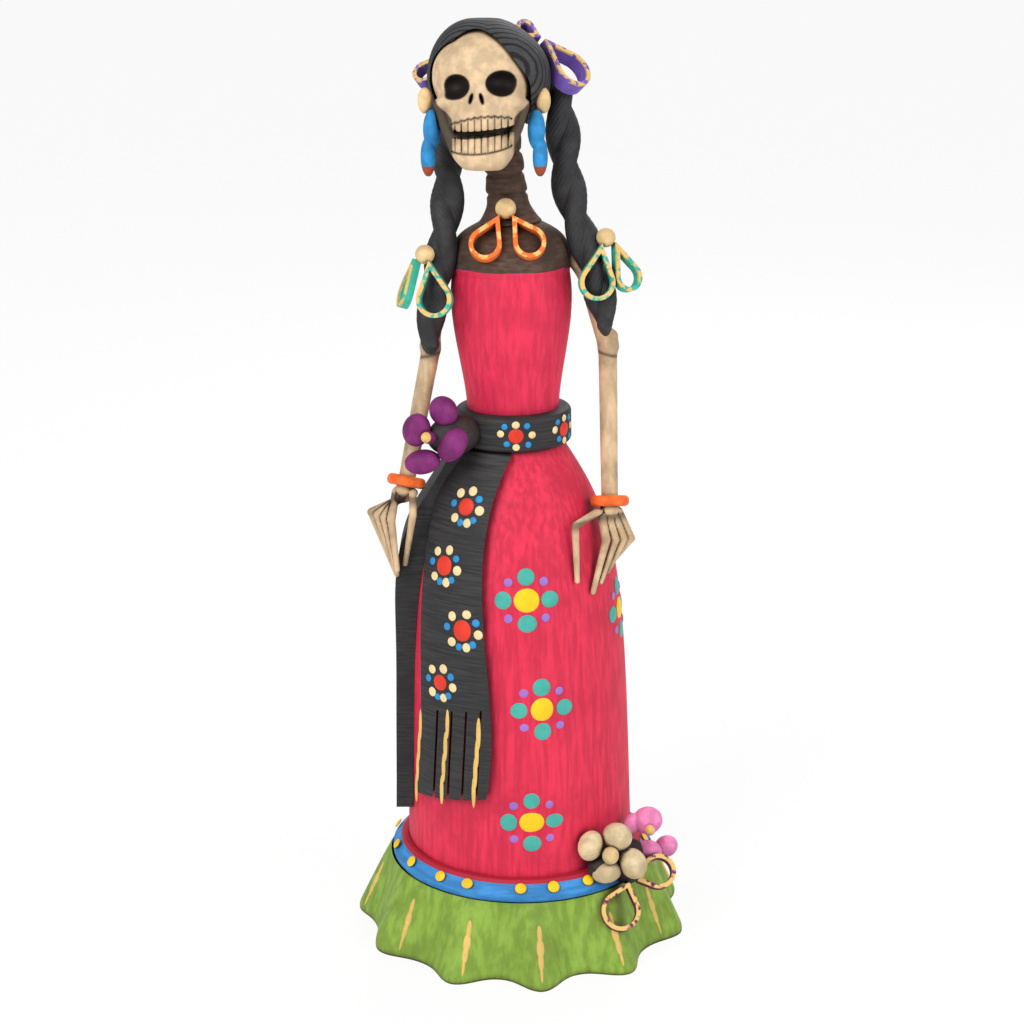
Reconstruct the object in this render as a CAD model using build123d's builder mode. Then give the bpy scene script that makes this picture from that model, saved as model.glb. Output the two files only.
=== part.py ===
from build123d import *
import math
import os

os.makedirs("parts", exist_ok=True)

# Hand-modelled clay catrina figure, in millimetres. The origin is the middle of the base on the floor, +Z is up
# and the figure faces -Y, so +X is its own left. "left" and "right" in the names are the figure's own.

# Heights that stack from the floor to the crown
ruffle_height = 33.0
skirt_height = 193.0
bodice_height = 71.0
chest_height = 22.0
neck_height = 35.0
cranium_height = 43.0
hair_thickness = 2.5

# Hem, skirt and waist
ruffle_folds = 11
first_fold = 7.0
ruffle_foot_radius = 71.0
ruffle_fold_depth = 4.3
ruffle_wall = 4.5
hem_band_height = 8.0
hem_band_width = 7.5
skirt_wall = 4.5
waist_radius = 20.0
hip_fullness = 25.5
hip_drop = 33.0
hip_curve = 1.21
skirt_flare = 5.0
lean_angle = 0.93
seat_clearance = 0.2

# Torso and neck
waist_depth = 18.5
bust_width = 25.5
bust_depth = 22.0
neckline_width = 24.5
neckline_depth = 20.5
plug_depth = 8.0
neck_radius = 8.2
tenon_radius = 5.0
tenon_depth = 6.0
neck_shift = 3.7

# Head
head_shift = 10.8
head_forward = 8.0
skull_width = 20.5
skull_depth = 22.5
mouth_gap = 2.6
jaw_height = 13.0
jaw_width = 12.8
jaw_post_radius = 3.0
eye_radius = 6.4
eye_spacing = 18.5

# Limbs, braids and ornaments
arm_radius = 4.1
elbow_radius = 4.6
wrist_radius = 3.6
bracelet_coil = 2.3
finger_radius = 1.3
braid_radius = 6.8
bead_radius = 4.0
drop_length = 8.2
drop_radius = 3.6
strip_thickness = 1.8
strip_width = 5.0
egg_end_share = 0.97

# Sash
belt_height = 15.0
belt_thickness = 4.8
tail_thickness = 4.5
front_tail_length = 154.0
fringe_length = 41.0
fringe_slot = 0.9
side_tail_length = 167.0
side_tail_width = 25.0
side_tail_front = 17.0

skirt_foot_z = ruffle_height
skirt_top_z = skirt_foot_z + skirt_height
neckline_z = skirt_top_z + bodice_height
collar_z = neckline_z + chest_height
skull_base_z = collar_z + neck_height
crown_z = skull_base_z + cranium_height

lean = math.radians(lean_angle)
body_up = Vector(-math.sin(lean), 0, math.cos(lean))
body_side = Vector(math.cos(lean), 0, math.sin(lean))
body_axis = Axis((0, 0, 0), body_up)
body_profile = Plane(origin=(0, 0, 0), x_dir=body_side, z_dir=(0, -1, 0))


def body_level(height):
    """Plane square to the leaning body, at a height along it."""
    return Plane(origin=body_up * height, x_dir=body_side, z_dir=body_up)


def lean_x(height):
    """Where the middle of the leaning body is at a height."""
    return -math.tan(lean) * height


def skirt_radius(height):
    """The bell: narrow waist, full hips, then a slight flare to the hem."""
    drop = max(skirt_top_z - height, 0)
    hip = 1 - math.exp(-((drop / hip_drop) ** hip_curve))
    return waist_radius + hip_fullness * hip + skirt_flare * drop / skirt_height


def on_skirt(azimuth, drop, stand_off):
    """Point off the skirt: degrees from the front towards the figure's left, and drop below the waist."""
    height = skirt_top_z - drop
    reach = skirt_radius(height) + stand_off
    angle = math.radians(azimuth)
    return (lean_x(height) + reach * math.sin(angle), -reach * math.cos(angle), height)


def skirt_profile(stand_off):
    """Points of the bell's side from waist to foot, closest together round the hips."""
    points = []
    for step in range(skirt_steps + 1):
        height = skirt_top_z - (skirt_height + foot_trim) * (step / skirt_steps) ** 1.6
        points.append((skirt_radius(height) + stand_off, height))
    return points


def skirt_layer(inner_off, outer_off):
    """A closed layer of revolution that follows the bell between two distances from its face."""
    with BuildPart() as layer:
        with BuildSketch(body_profile):
            with BuildLine():
                outer = Spline(*skirt_profile(outer_off))
                inner = Spline(*skirt_profile(inner_off))
                Line(outer @ 0, inner @ 0)
                Line(outer @ 1, inner @ 1)
            make_face()
        revolve(axis=body_axis)
        split(bisect_by=Plane.XY.offset(skirt_foot_z), keep=Keep.TOP)
    return layer.part


def coil(points, radii, guide=(0, 1, 0)):
    """A rolled coil of clay through some points, its radii spread evenly from the first to the last."""
    with BuildPart() as body:
        with BuildLine(mode=Mode.PRIVATE) as route:
            path = Spline(*points)
        for step, radius in enumerate(radii):
            along = step / (len(radii) - 1)
            with BuildSketch(Plane(origin=path @ along, x_dir=guide, z_dir=path % along)):
                Circle(radius)
        loft()
    return body.part


def pebble(centre, half_length, radius, direction=(0, 0, 1)):
    """An egg of clay, long along a direction, with its two ends pressed a little flat."""
    along = Vector(*direction)
    other = Vector(0, -1, 0) if abs(along.normalized().Y) < 0.9 else Vector(0, 0, 1)
    with BuildPart() as body:
        with BuildSketch(Plane(origin=centre, x_dir=along, z_dir=along.cross(other))):
            Ellipse(half_length, radius)
            Rectangle(2 * egg_end_share * half_length, 2 * radius, mode=Mode.INTERSECT)
            Rectangle(2 * half_length, radius, align=(Align.CENTER, Align.MAX), mode=Mode.SUBTRACT)
        revolve(axis=Axis(centre, along))
    return body.part


def drop_loop(top, down, face, length, width, depth=strip_width):
    """A strip bent into a drop: its point at top, its round end towards down, open along face."""
    face = Vector(*face)
    down = Vector(*down)
    side = face.cross(down)
    round_radius = width / 2
    reach = length - round_radius
    turn = math.acos(round_radius / reach)
    with BuildPart() as loop:
        with BuildSketch(Plane(origin=top, x_dir=side, z_dir=face).offset(-depth / 2)):
            with BuildLine():
                left = Line((0, 0), (-round_radius * math.sin(turn), round_radius * math.cos(turn) - reach))
                right = Line((0, 0), (round_radius * math.sin(turn), round_radius * math.cos(turn) - reach))
                ThreePointArc(left @ 1, (0, -length), right @ 1)
            make_face()
            offset(amount=-strip_thickness, mode=Mode.SUBTRACT)
        extrude(amount=depth)
    return loop.part


def slice_stack(levels):
    """Upright solid through flat elliptical slices of (height, x, y, half width, half depth)."""
    with BuildPart() as body:
        for height, x, y, half_width, half_depth in levels:
            with BuildSketch(Plane(origin=(x, y, height))):
                Ellipse(half_width, half_depth)
        loft()
    return body.part


skirt_steps = 12
foot_trim = 1.5

# Hem ruffle: a gathered ring that flares to the floor, hollow underneath, flat on the floor
ruffle_top_radius = skirt_radius(skirt_foot_z) + hem_band_width + 1.0


def ruffle_slice(share):
    """Mean radius and fold depth of the ruffle at a share of its height."""
    mean_radius = ruffle_foot_radius + (ruffle_top_radius - ruffle_foot_radius) * share
    return mean_radius, ruffle_fold_depth * (1 - share) ** 0.7


with BuildPart() as hem_ruffle:
    for share in (0.0, 0.45, 1.0):
        mean_radius, fold_depth = ruffle_slice(share)
        outline = []
        for half_fold in range(2 * ruffle_folds):
            reach = mean_radius + fold_depth * (-1) ** half_fold
            angle = math.radians(first_fold + half_fold * 180 / ruffle_folds)
            outline.append((reach * math.sin(angle), -reach * math.cos(angle)))
        with BuildSketch(Plane.XY.offset(share * ruffle_height)):
            with BuildLine():
                Spline(*outline, periodic=True)
            make_face()
    loft()
    with BuildSketch(Plane.XY):
        Circle(ruffle_foot_radius - ruffle_fold_depth - ruffle_wall)
    with BuildSketch(Plane.XY.offset(ruffle_height)):
        Circle(skirt_radius(skirt_foot_z) - skirt_wall)
    loft(mode=Mode.SUBTRACT)
hem_ruffle.part.label = "hem_ruffle"
export_step(hem_ruffle.part, "parts/hem_ruffle.step")

# Skirt: a hollow bell that stands on the ruffle's top
with BuildPart() as skirt_shell:
    add(skirt_layer(-skirt_wall, 0))
skirt_shell.part.label = "skirt_shell"
export_step(skirt_shell.part, "parts/skirt_shell.step")

# Everything inside the bell's outer face, used to trim what lies on the skirt
with BuildPart() as skirt_core:
    with BuildSketch(body_profile):
        with BuildLine():
            side = Spline(*skirt_profile(seat_clearance))
            Polyline(side @ 0, (0, (side @ 0).Y), (0, (side @ 1).Y), side @ 1)
        make_face()
    revolve(axis=body_axis)

# Hem band: a strip pressed into the corner between skirt and ruffle
with BuildPart() as hem_band:
    foot = skirt_radius(skirt_foot_z)
    with BuildSketch(Plane.XZ):
        with BuildLine():
            Polyline(
                (foot - 2, ruffle_height),
                (foot + hem_band_width, ruffle_height),
                (foot + hem_band_width, ruffle_height + 0.35 * hem_band_height),
                (foot + 0.35 * hem_band_width, ruffle_height + hem_band_height),
                (foot - 2, ruffle_height + hem_band_height),
                close=True,
            )
        make_face()
    revolve(axis=Axis.Z)
    add(skirt_core.part, mode=Mode.SUBTRACT)
hem_band.part.label = "hem_band"
export_step(hem_band.part, "parts/hem_band.step")

# Bodice: oval in plan, with a plug that sits in the skirt's open waist
with BuildPart() as bodice:
    for height, half_width, half_depth in (
        (skirt_top_z, waist_radius - 0.3, waist_depth),
        (skirt_top_z + 0.2 * bodice_height, waist_radius - 0.3, waist_depth),
        (skirt_top_z + 0.82 * bodice_height, bust_width, bust_depth),
        (neckline_z, neckline_width, neckline_depth),
    ):
        with BuildSketch(body_level(height)):
            Ellipse(half_width, half_depth)
    loft()
    with BuildSketch(body_level(skirt_top_z)):
        Circle(waist_radius - skirt_wall - seat_clearance)
    extrude(amount=-plug_depth)
    with BuildSketch(body_level(neckline_z)):
        Circle(tenon_radius + seat_clearance)
    extrude(amount=-tenon_depth, mode=Mode.SUBTRACT)
bodice.part.label = "bodice"
export_step(bodice.part, "parts/bodice.step")

# Arms: one rolled coil each, from a socket in the shoulder past the elbow to the wrist
shoulder_z = neckline_z + 7.0
elbow_z = neckline_z - 35.0
left_wrist = on_skirt(66, 29, 8.8)
right_wrist = on_skirt(-72, 21, 17.2)
left_arm_path = [
    (lean_x(shoulder_z) + neckline_width - 1, 2, shoulder_z),
    (lean_x(shoulder_z) + neckline_width + 7, 3, shoulder_z - 8),
    (lean_x(elbow_z) + waist_radius + 20.6, 2, elbow_z),
    left_wrist,
]
right_arm_path = [
    (lean_x(shoulder_z) - neckline_width + 1, 2, shoulder_z),
    (lean_x(shoulder_z) - neckline_width - 6, 3, shoulder_z - 9),
    (lean_x(elbow_z) - waist_radius - 14.5, 1, elbow_z),
    right_wrist,
]
arm_radii = [arm_radius - 0.6, arm_radius, elbow_radius, arm_radius, wrist_radius]
with BuildPart() as left_arm:
    add(coil(left_arm_path, arm_radii))
left_arm.part.label = "left_arm"
export_step(left_arm.part, "parts/left_arm.step")
with BuildPart() as right_arm:
    add(coil(right_arm_path, arm_radii))
right_arm.part.label = "right_arm"
export_step(right_arm.part, "parts/right_arm.step")

# Chest: bare shoulders above the neckline, with sockets for the arms and the neck
with BuildPart() as chest:
    for share, half_width, half_depth in (
        (0.0, neckline_width, neckline_depth),
        (0.3, neckline_width + 0.5, neckline_depth - 0.8),
        (0.66, neckline_width - 3, neckline_depth - 4.5),
        (0.9, neck_radius + 5, neck_radius + 3.5),
        (1.0, neck_radius + 2, neck_radius + 1.5),
    ):
        with BuildSketch(body_level(neckline_z + share * chest_height)):
            Ellipse(half_width, half_depth)
    loft()
    with BuildSketch(body_level(neckline_z)):
        Circle(tenon_radius)
    extrude(amount=-tenon_depth)
    with BuildSketch(body_level(collar_z)):
        Circle(tenon_radius + seat_clearance)
    extrude(amount=-tenon_depth, mode=Mode.SUBTRACT)
    add(left_arm.part, mode=Mode.SUBTRACT)
    add(right_arm.part, mode=Mode.SUBTRACT)
chest.part.label = "chest"
export_step(chest.part, "parts/chest.step")

# Neck: a ringed post that leans towards the head, with a tenon at each end
head_x = lean_x(skull_base_z) - head_shift
neck_top = (lean_x(skull_base_z) - neck_shift, 3, skull_base_z)
with BuildPart() as neck:
    with BuildSketch(body_level(collar_z)):
        Circle(neck_radius)
    with BuildSketch(Plane(origin=neck_top)):
        Circle(neck_radius)
    loft()
    with BuildSketch(body_level(collar_z)):
        Circle(tenon_radius)
    extrude(amount=-tenon_depth)
    with BuildSketch(Plane(origin=neck_top)):
        Circle(tenon_radius)
    extrude(amount=tenon_depth)
neck.part.label = "neck"
export_step(neck.part, "parts/neck.step")

# Skull: cranium and upper jaw in one, open eye sockets, and a socket for the neck
eye_z = skull_base_z + 0.49 * cranium_height
teeth_z = skull_base_z + 3.5
cranium = slice_stack([
    (skull_base_z, neck_top[0] - 2.5, 2, 12.5, 11),
    (skull_base_z + 0.17 * cranium_height, head_x + 2, 3.5 - head_forward, skull_width - 3.5, skull_depth - 6),
    (skull_base_z + 0.4 * cranium_height, head_x, -head_forward, skull_width, skull_depth - 1),
    (skull_base_z + 0.65 * cranium_height, head_x, -head_forward, skull_width, skull_depth),
    (skull_base_z + 0.87 * cranium_height, head_x, 1 - head_forward, skull_width - 4.5, skull_depth - 5),
    (crown_z, head_x - 0.5, 2 - head_forward, skull_width - 13, skull_depth - 14),
])
upper_jaw = slice_stack([
    (teeth_z, head_x, -head_forward - 13, jaw_width, 12),
    (teeth_z + 8, head_x, -head_forward - 11, jaw_width + 2, 13),
    (teeth_z + 16, head_x, -head_forward - 6, jaw_width - 2, 13),
])
with BuildPart() as skull:
    add(cranium)
    add(upper_jaw)
    for side in (-1, 1):
        eye = (head_x - 1 + side * eye_spacing / 2, -head_forward - skull_depth + 1.5, eye_z)
        with Locations(eye):
            Sphere(eye_radius, mode=Mode.SUBTRACT)
    with BuildSketch(Plane(origin=neck_top)):
        Circle(tenon_radius + seat_clearance)
    extrude(amount=tenon_depth, mode=Mode.SUBTRACT)
skull.part.label = "skull"
export_step(skull.part, "parts/skull.step")

# Lower jaw: a chin block below the open mouth, carried by two posts that rise to the skull's sides
jaw_top_z = teeth_z - mouth_gap
jaw_y = -head_forward - 16.5
jaw_block = slice_stack([
    (jaw_top_z - jaw_height, head_x + 1, jaw_y - 2.5, jaw_width - 4, 5.5),
    (jaw_top_z - 0.65 * jaw_height, head_x + 0.5, jaw_y - 1, jaw_width - 0.5, 8.5),
    (jaw_top_z, head_x, jaw_y, jaw_width, 9),
])
with BuildPart() as lower_jaw:
    add(jaw_block)
    for side in (-1, 1):
        foot_of_post = (head_x + side * (jaw_width - 3), jaw_y + 3, jaw_top_z - 0.45 * jaw_height)
        bend_of_post = (head_x + side * (jaw_width + 2), jaw_y + 8, teeth_z)
        head_of_post = (head_x + side * (jaw_width + 3.5), jaw_y + 11, teeth_z + 8)
        add(coil([foot_of_post, bend_of_post, head_of_post], [jaw_post_radius] * 3))
    add(cranium, mode=Mode.SUBTRACT)
    add(upper_jaw, mode=Mode.SUBTRACT)
lower_jaw.part.label = "lower_jaw"
export_step(lower_jaw.part, "parts/lower_jaw.step")

# Hair: a combed cap over the skull, parted in the middle, open in front round the face
hair_x = head_x + 2.7
parting_z = crown_z - 0.5
with BuildPart() as hair_cap:
    add(slice_stack([
        (skull_base_z + 3, hair_x + 1, 7, skull_width - 2, 13),
        (skull_base_z + 0.3 * cranium_height, hair_x, 2.5, skull_width + 3.5, skull_depth),
        (skull_base_z + 0.6 * cranium_height, hair_x, -1.5, skull_width + 4.5, skull_depth + 3),
        (skull_base_z + 0.86 * cranium_height, hair_x - 1, -3.5, skull_width - 0.5, skull_depth - 1.5),
        (crown_z + hair_thickness, hair_x - 2, -4.5, skull_width - 13.5, skull_depth - 14.5),
    ]))
    add(cranium, mode=Mode.SUBTRACT)
    add(upper_jaw, mode=Mode.SUBTRACT)
    with BuildSketch(Plane.XZ.offset(head_forward)):
        with BuildLine():
            brow = Spline(
                (head_x - skull_width - 1.5, skull_base_z),
                (head_x - skull_width + 0.5, eye_z + 4),
                (head_x - 1, parting_z),
                (head_x + skull_width - 4.5, eye_z + 6),
                (head_x + skull_width - 0.5, skull_base_z),
                tangents=[(0, 1), (0, -1)],
            )
            Line(brow @ 0, brow @ 1)
        make_face()
    extrude(amount=2 * skull_depth, mode=Mode.SUBTRACT)
    with Locations((0, 0, skull_base_z - 10)):
        Box(200, 200, 20, align=(Align.CENTER, Align.CENTER, Align.MAX), mode=Mode.SUBTRACT)
    add(neck.part, mode=Mode.SUBTRACT)
hair_cap.part.label = "hair_cap"
export_step(hair_cap.part, "parts/hair_cap.step")

# Braids: from under the hair behind each ear, forward over the shoulders, ending at the elbows
braid_top_z = skull_base_z + 19
left_braid_path = [
    (head_x + 30.5, 12, braid_top_z),
    (head_x + 33, 9, skull_base_z + 2),
    (head_x + 35, 4.5, collar_z + 16),
    (head_x + 38.5, 0, collar_z + 1),
    (lean_x(neckline_z) + neckline_width + 7.5, -6.5, neckline_z + 8),
    (lean_x(neckline_z) + neckline_width + 13, -10.5, neckline_z - 11),
    (lean_x(neckline_z) + neckline_width + 15.5, -10, neckline_z - 26),
]
right_braid_path = [
    (head_x - 15.5, 13, braid_top_z - 6),
    (head_x - 15.5, 9, skull_base_z - 2),
    (head_x - 14.5, 3, collar_z + 16),
    (head_x - 15, -2.5, collar_z + 2),
    (lean_x(neckline_z) - neckline_width - 5, -8.5, neckline_z + 3),
    (lean_x(neckline_z) - neckline_width - 9, -10.5, neckline_z - 20),
    (lean_x(neckline_z) - neckline_width - 9.4, -9.5, neckline_z - 34.5),
]
with BuildPart() as left_braid:
    add(coil(left_braid_path, [braid_radius * share for share in (0.95, 1.03, 1.03, 1.0, 0.97, 0.95, 0.35)]))
    for neighbour in (hair_cap, chest, left_arm):
        add(neighbour.part, mode=Mode.SUBTRACT)
left_braid.part.label = "left_braid"
export_step(left_braid.part, "parts/left_braid.step")
with BuildPart() as right_braid:
    add(coil(right_braid_path, [braid_radius * share for share in (0.95, 1.03, 1.03, 1.0, 0.97, 0.82, 0.65)]))
    for neighbour in (hair_cap, chest, right_arm, skull, lower_jaw):
        add(neighbour.part, mode=Mode.SUBTRACT)
right_braid.part.label = "right_braid"
export_step(right_braid.part, "parts/right_braid.step")

# Hands: a bracelet on each wrist, four finger coils bent at the knuckle, and a thumb
bracelet_rise = 3.5
finger_start = 1.5


def bracelet(path, wrist):
    """A ring of clay round the forearm just above the wrist."""
    along = Vector(*path[-1]) - Vector(*path[-2])
    centre = Vector(*wrist) - along.normalized() * bracelet_rise
    with BuildPart() as ring:
        with BuildSketch(Plane(origin=centre, x_dir=(0, 1, 0), z_dir=along)):
            Circle(wrist_radius + 2 * bracelet_coil)
        extrude(amount=bracelet_coil, both=True)
        fillet(ring.edges(), radius=0.8 * bracelet_coil)
    return ring.part


def finger(start, bend, end):
    """A thin coil bent over a round knuckle, tapering a little to its tip."""
    with BuildPart() as bones:
        for low, high, low_radius, high_radius in (
            (start, bend, finger_radius - 0.2, finger_radius),
            (bend, end, finger_radius, finger_radius - 0.2),
        ):
            along = Vector(*high) - Vector(*low)
            with BuildSketch(Plane(origin=low, x_dir=(0, 1, 0), z_dir=along)):
                Circle(low_radius)
            with BuildSketch(Plane(origin=high, x_dir=(0, 1, 0), z_dir=along)):
                Circle(high_radius)
            loft()
        with Locations(bend):
            Sphere(finger_radius + 0.2)
    return bones.part


def four_fingers(wrist, side, knuckle, tip):
    """Finger coils fanned side by side; knuckle and tip give the first finger and the step to the next."""
    coils = []
    for number in range(4):
        spread = (number - 1.5) * 2 * finger_radius
        start = (wrist[0] + side * spread, wrist[1] + 0.3 * spread, wrist[2] - finger_start)
        bend = on_skirt(*[first + number * step for first, step in knuckle])
        end = on_skirt(*[first + number * step for first, step in tip])
        coils.append(finger(start, bend, end))
    return coils


with BuildPart() as left_bracelet:
    add(bracelet(left_arm_path, left_wrist))
    add(left_arm.part, mode=Mode.SUBTRACT)
left_bracelet.part.label = "left_bracelet"
export_step(left_bracelet.part, "parts/left_bracelet.step")
with BuildPart() as right_bracelet:
    add(bracelet(right_arm_path, right_wrist))
    add(right_arm.part, mode=Mode.SUBTRACT)
right_bracelet.part.label = "right_bracelet"
export_step(right_bracelet.part, "parts/right_bracelet.step")

tip_off = finger_radius + seat_clearance
left_knuckle = [(58, 5.7), (40.5, 0.9), (6, 1.7)]
left_tip = [(45.7, 6.2), (61.3, -3.4), (tip_off, 0.8)]
with BuildPart() as left_fingers:
    for one in four_fingers(left_wrist, 1, left_knuckle, left_tip):
        add(one)
    add(left_arm.part, mode=Mode.SUBTRACT)
left_fingers.part.label = "left_fingers"
export_step(left_fingers.part, "parts/left_fingers.step")
with BuildPart() as left_thumb:
    add(finger((left_wrist[0] - 5, left_wrist[1] - 3, left_wrist[2]), on_skirt(37, 31.5, 5.5), on_skirt(35.5, 55, tip_off)))
    for neighbour in (left_arm, left_bracelet, left_fingers):
        add(neighbour.part, mode=Mode.SUBTRACT)
left_thumb.part.label = "left_thumb"
export_step(left_thumb.part, "parts/left_thumb.step")

# Sash: a wrap round the waist, a long fringed tail in front and a plain tail over the right hip
belt_low_z = skirt_top_z - 3.0
with BuildPart() as waist_sash:
    with BuildSketch(body_profile):
        with Locations((waist_radius - 6, belt_low_z)):
            RectangleRounded(belt_thickness + 6, belt_height, 2.2, align=(Align.MIN, Align.MIN))
    revolve(axis=body_axis)
    add(skirt_core.part, mode=Mode.SUBTRACT)
    add(bodice.part, mode=Mode.SUBTRACT)
waist_sash.part.label = "waist_sash"
export_step(waist_sash.part, "parts/waist_sash.step")


def tail_edge(stations):
    """Front-view points of a tail's edge, from stations of (degrees from the front, drop below the waist)."""
    points = []
    for azimuth, drop in stations:
        x, y, z = on_skirt(azimuth, drop, tail_thickness)
        points.append((x, z))
    return points


tail_top = skirt_top_z - belt_low_z + 0.5
outer_edge = tail_edge([(-66, tail_top), (-58, 36), (-54, 78), (-57, front_tail_length)])
inner_edge = tail_edge([(-2, tail_top), (-17, 36), (-15.5, 78), (-15.3, front_tail_length - 6)])
with BuildPart() as sash_front_tail:
    add(skirt_layer(seat_clearance, tail_thickness))
    with BuildSketch(Plane.XZ):
        with BuildLine():
            outer = Spline(*outer_edge)
            inner = Spline(*inner_edge)
            Line(outer @ 0, inner @ 0)
            Line(outer @ 1, inner @ 1)
        make_face()
    extrude(amount=100, mode=Mode.INTERSECT)
    for number in range(1, 5):
        share = number / 5
        low = [a + (b - a) * share for a, b in zip(outer_edge[-1], inner_edge[-1])]
        with BuildSketch(Plane.XZ):
            with Locations((low[0] + 1.5, low[1] - 10)):
                Rectangle(fringe_slot, fringe_length + 10, rotation=-3, align=(Align.CENTER, Align.MIN))
        extrude(amount=100, mode=Mode.SUBTRACT)
sash_front_tail.part.label = "sash_front_tail"
export_step(sash_front_tail.part, "parts/sash_front_tail.step")

with BuildPart() as sash_side_tail:
    outer_side = []
    for drop, stand_off in ((5, 4.5), (22, 4.5), (40, 7.8), (56, 8.0), (86, 5.7), (126, 4.8), (side_tail_length, 4.8)):
        x, y, z = on_skirt(-90, drop, stand_off)
        outer_side.append((x, z))
    with BuildSketch(Plane.XZ.offset(side_tail_front)):
        with BuildLine():
            outer = Spline(*outer_side)
            low_z = skirt_top_z - side_tail_length
            Polyline(outer @ 1, (0, low_z), (0, outer_side[0][1]), outer @ 0)
        make_face()
    extrude(amount=-side_tail_width)
    for neighbour in (skirt_core, sash_front_tail, waist_sash):
        add(neighbour.part, mode=Mode.SUBTRACT)
sash_side_tail.part.label = "sash_side_tail"
export_step(sash_side_tail.part, "parts/sash_side_tail.step")

# Right hand: held out from the hip, its fingertips coming back to the side tail's front corner
right_knuckle = [(-77.1, 3.6), (31.2, 0.25), (26.5, -2.0)]
right_tip = [(-70.5, 2.2), (58, -1.4), (10.6, 0.9)]
with BuildPart() as right_fingers:
    for one in four_fingers(right_wrist, -1, right_knuckle, right_tip):
        add(one)
    for neighbour in (right_arm, right_bracelet, sash_side_tail):
        add(neighbour.part, mode=Mode.SUBTRACT)
right_fingers.part.label = "right_fingers"
export_step(right_fingers.part, "parts/right_fingers.step")
with BuildPart() as right_thumb:
    add(finger((right_wrist[0] + 3.6, right_wrist[1] - 5, right_wrist[2]), on_skirt(-60, 29.5, 14), on_skirt(-68.5, 53, 8.2)))
    for neighbour in (right_arm, right_bracelet, right_fingers, sash_side_tail):
        add(neighbour.part, mode=Mode.SUBTRACT)
right_thumb.part.label = "right_thumb"
export_step(right_thumb.part, "parts/right_thumb.step")

# Earrings: a gold bead at each ear with two long drops pressed on below it
ear_x = head_x + 0.9
ear_y = -head_forward - 2.6
ear_z = skull_base_z + 13.5
upper_drop_fall = bead_radius + drop_length - 0.8
for side, name, braid in ((1, "left", left_braid), (-1, "right", right_braid)):
    with BuildPart() as ear_bead:
        add(pebble((ear_x + side * 24, ear_y, ear_z), bead_radius + 1.3, bead_radius - 1))
        add(hair_cap.part, mode=Mode.SUBTRACT)
    ear_bead.part.label = f"{name}_ear_bead"
    export_step(ear_bead.part, f"parts/{name}_ear_bead.step")
    with BuildPart() as upper_drop:
        add(pebble((ear_x + side * 21.2, ear_y - 3, ear_z - upper_drop_fall), drop_length, drop_radius))
        add(lower_jaw.part, mode=Mode.SUBTRACT)
    upper_drop.part.label = f"{name}_earring_upper_drop"
    export_step(upper_drop.part, f"parts/{name}_earring_upper_drop.step")
    with BuildPart() as lower_drop:
        low_z = ear_z - upper_drop_fall - 1.3 * drop_length
        add(pebble((ear_x + side * 22.8, ear_y - 4, low_z), drop_length, drop_radius - 0.5))
        add(upper_drop.part, mode=Mode.SUBTRACT)
        add(braid.part, mode=Mode.SUBTRACT)
    lower_drop.part.label = f"{name}_earring_lower_drop"
    export_step(lower_drop.part, f"parts/{name}_earring_lower_drop.step")

# Pendant: a bead at the throat with two strip loops that fan over the chest
throat_z = collar_z + 4.8
throat = (lean_x(throat_z) - 1.7, -neck_radius - 3.2, throat_z)
with BuildPart() as pendant_bead:
    add(pebble(throat, bead_radius + 0.3, bead_radius + 0.3))
    for neighbour in (neck, chest):
        add(neighbour.part, mode=Mode.SUBTRACT)
pendant_bead.part.label = "pendant_bead"
export_step(pendant_bead.part, "parts/pendant_bead.step")
for side, name in ((1, "left"), (-1, "right")):
    with BuildPart() as pendant_loop:
        top = (throat[0] + side * 2.6, throat[1] - 2.2, throat[2] - 3.0)
        down = (side * 10 + 1.5, -7.5, -16)
        face = (0.03 * side, -0.905, 0.425)
        add(drop_loop(top, down, face, 20, 13.5))
        for neighbour in (pendant_bead, chest, bodice):
            add(neighbour.part, mode=Mode.SUBTRACT)
        split(bisect_by=Plane(origin=(throat[0], 0, throat_z), z_dir=(side, 0, 0)), keep=Keep.TOP)
    pendant_loop.part.label = f"pendant_{name}_loop"
    export_step(pendant_loop.part, f"parts/pendant_{name}_loop.step")

# Braid bows: a bead on each braid above the elbow with two strip loops hanging from it
for side, name, braid, knot, inner_down, outer_down, outer_face in (
    (1, "left", left_braid, (lean_x(neckline_z) + neckline_width + 14.8, -9.5, neckline_z + 14.5),
     (-2.5, -5, -21), (9, -3, -21), (0.5, -0.83, 0.3)),
    (-1, "right", right_braid, (lean_x(neckline_z) - neckline_width - 10.9, -15.5, neckline_z + 8.5),
     (3.5, -3, -23), (-7, 2, -21), (-0.93, -0.2, 0.3)),
):
    with BuildPart() as bow_bead:
        add(pebble(knot, bead_radius, bead_radius))
        add(braid.part, mode=Mode.SUBTRACT)
    bow_bead.part.label = f"{name}_braid_bow_bead"
    export_step(bow_bead.part, f"parts/{name}_braid_bow_bead.step")
    with BuildPart() as inner_loop:
        top = (knot[0] - side * 2, knot[1] - 3.5, knot[2] - 2)
        add(drop_loop(top, inner_down, (side * 0.2, -0.95, 0.2), 23.5, 15, 4))
        add(bow_bead.part, mode=Mode.SUBTRACT)
        add(braid.part, mode=Mode.SUBTRACT)
    inner_loop.part.label = f"{name}_braid_bow_inner_loop"
    export_step(inner_loop.part, f"parts/{name}_braid_bow_inner_loop.step")
    with BuildPart() as outer_loop:
        top = (knot[0] + side * 3.2, knot[1] - 0.5, knot[2] - 2)
        add(drop_loop(top, outer_down, outer_face, 21.5, 12.5, 4))
        add(bow_bead.part, mode=Mode.SUBTRACT)
        add(inner_loop.part, mode=Mode.SUBTRACT)
        add(braid.part, mode=Mode.SUBTRACT)
    outer_loop.part.label = f"{name}_braid_bow_outer_loop"
    export_step(outer_loop.part, f"parts/{name}_braid_bow_outer_loop.step")

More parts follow.
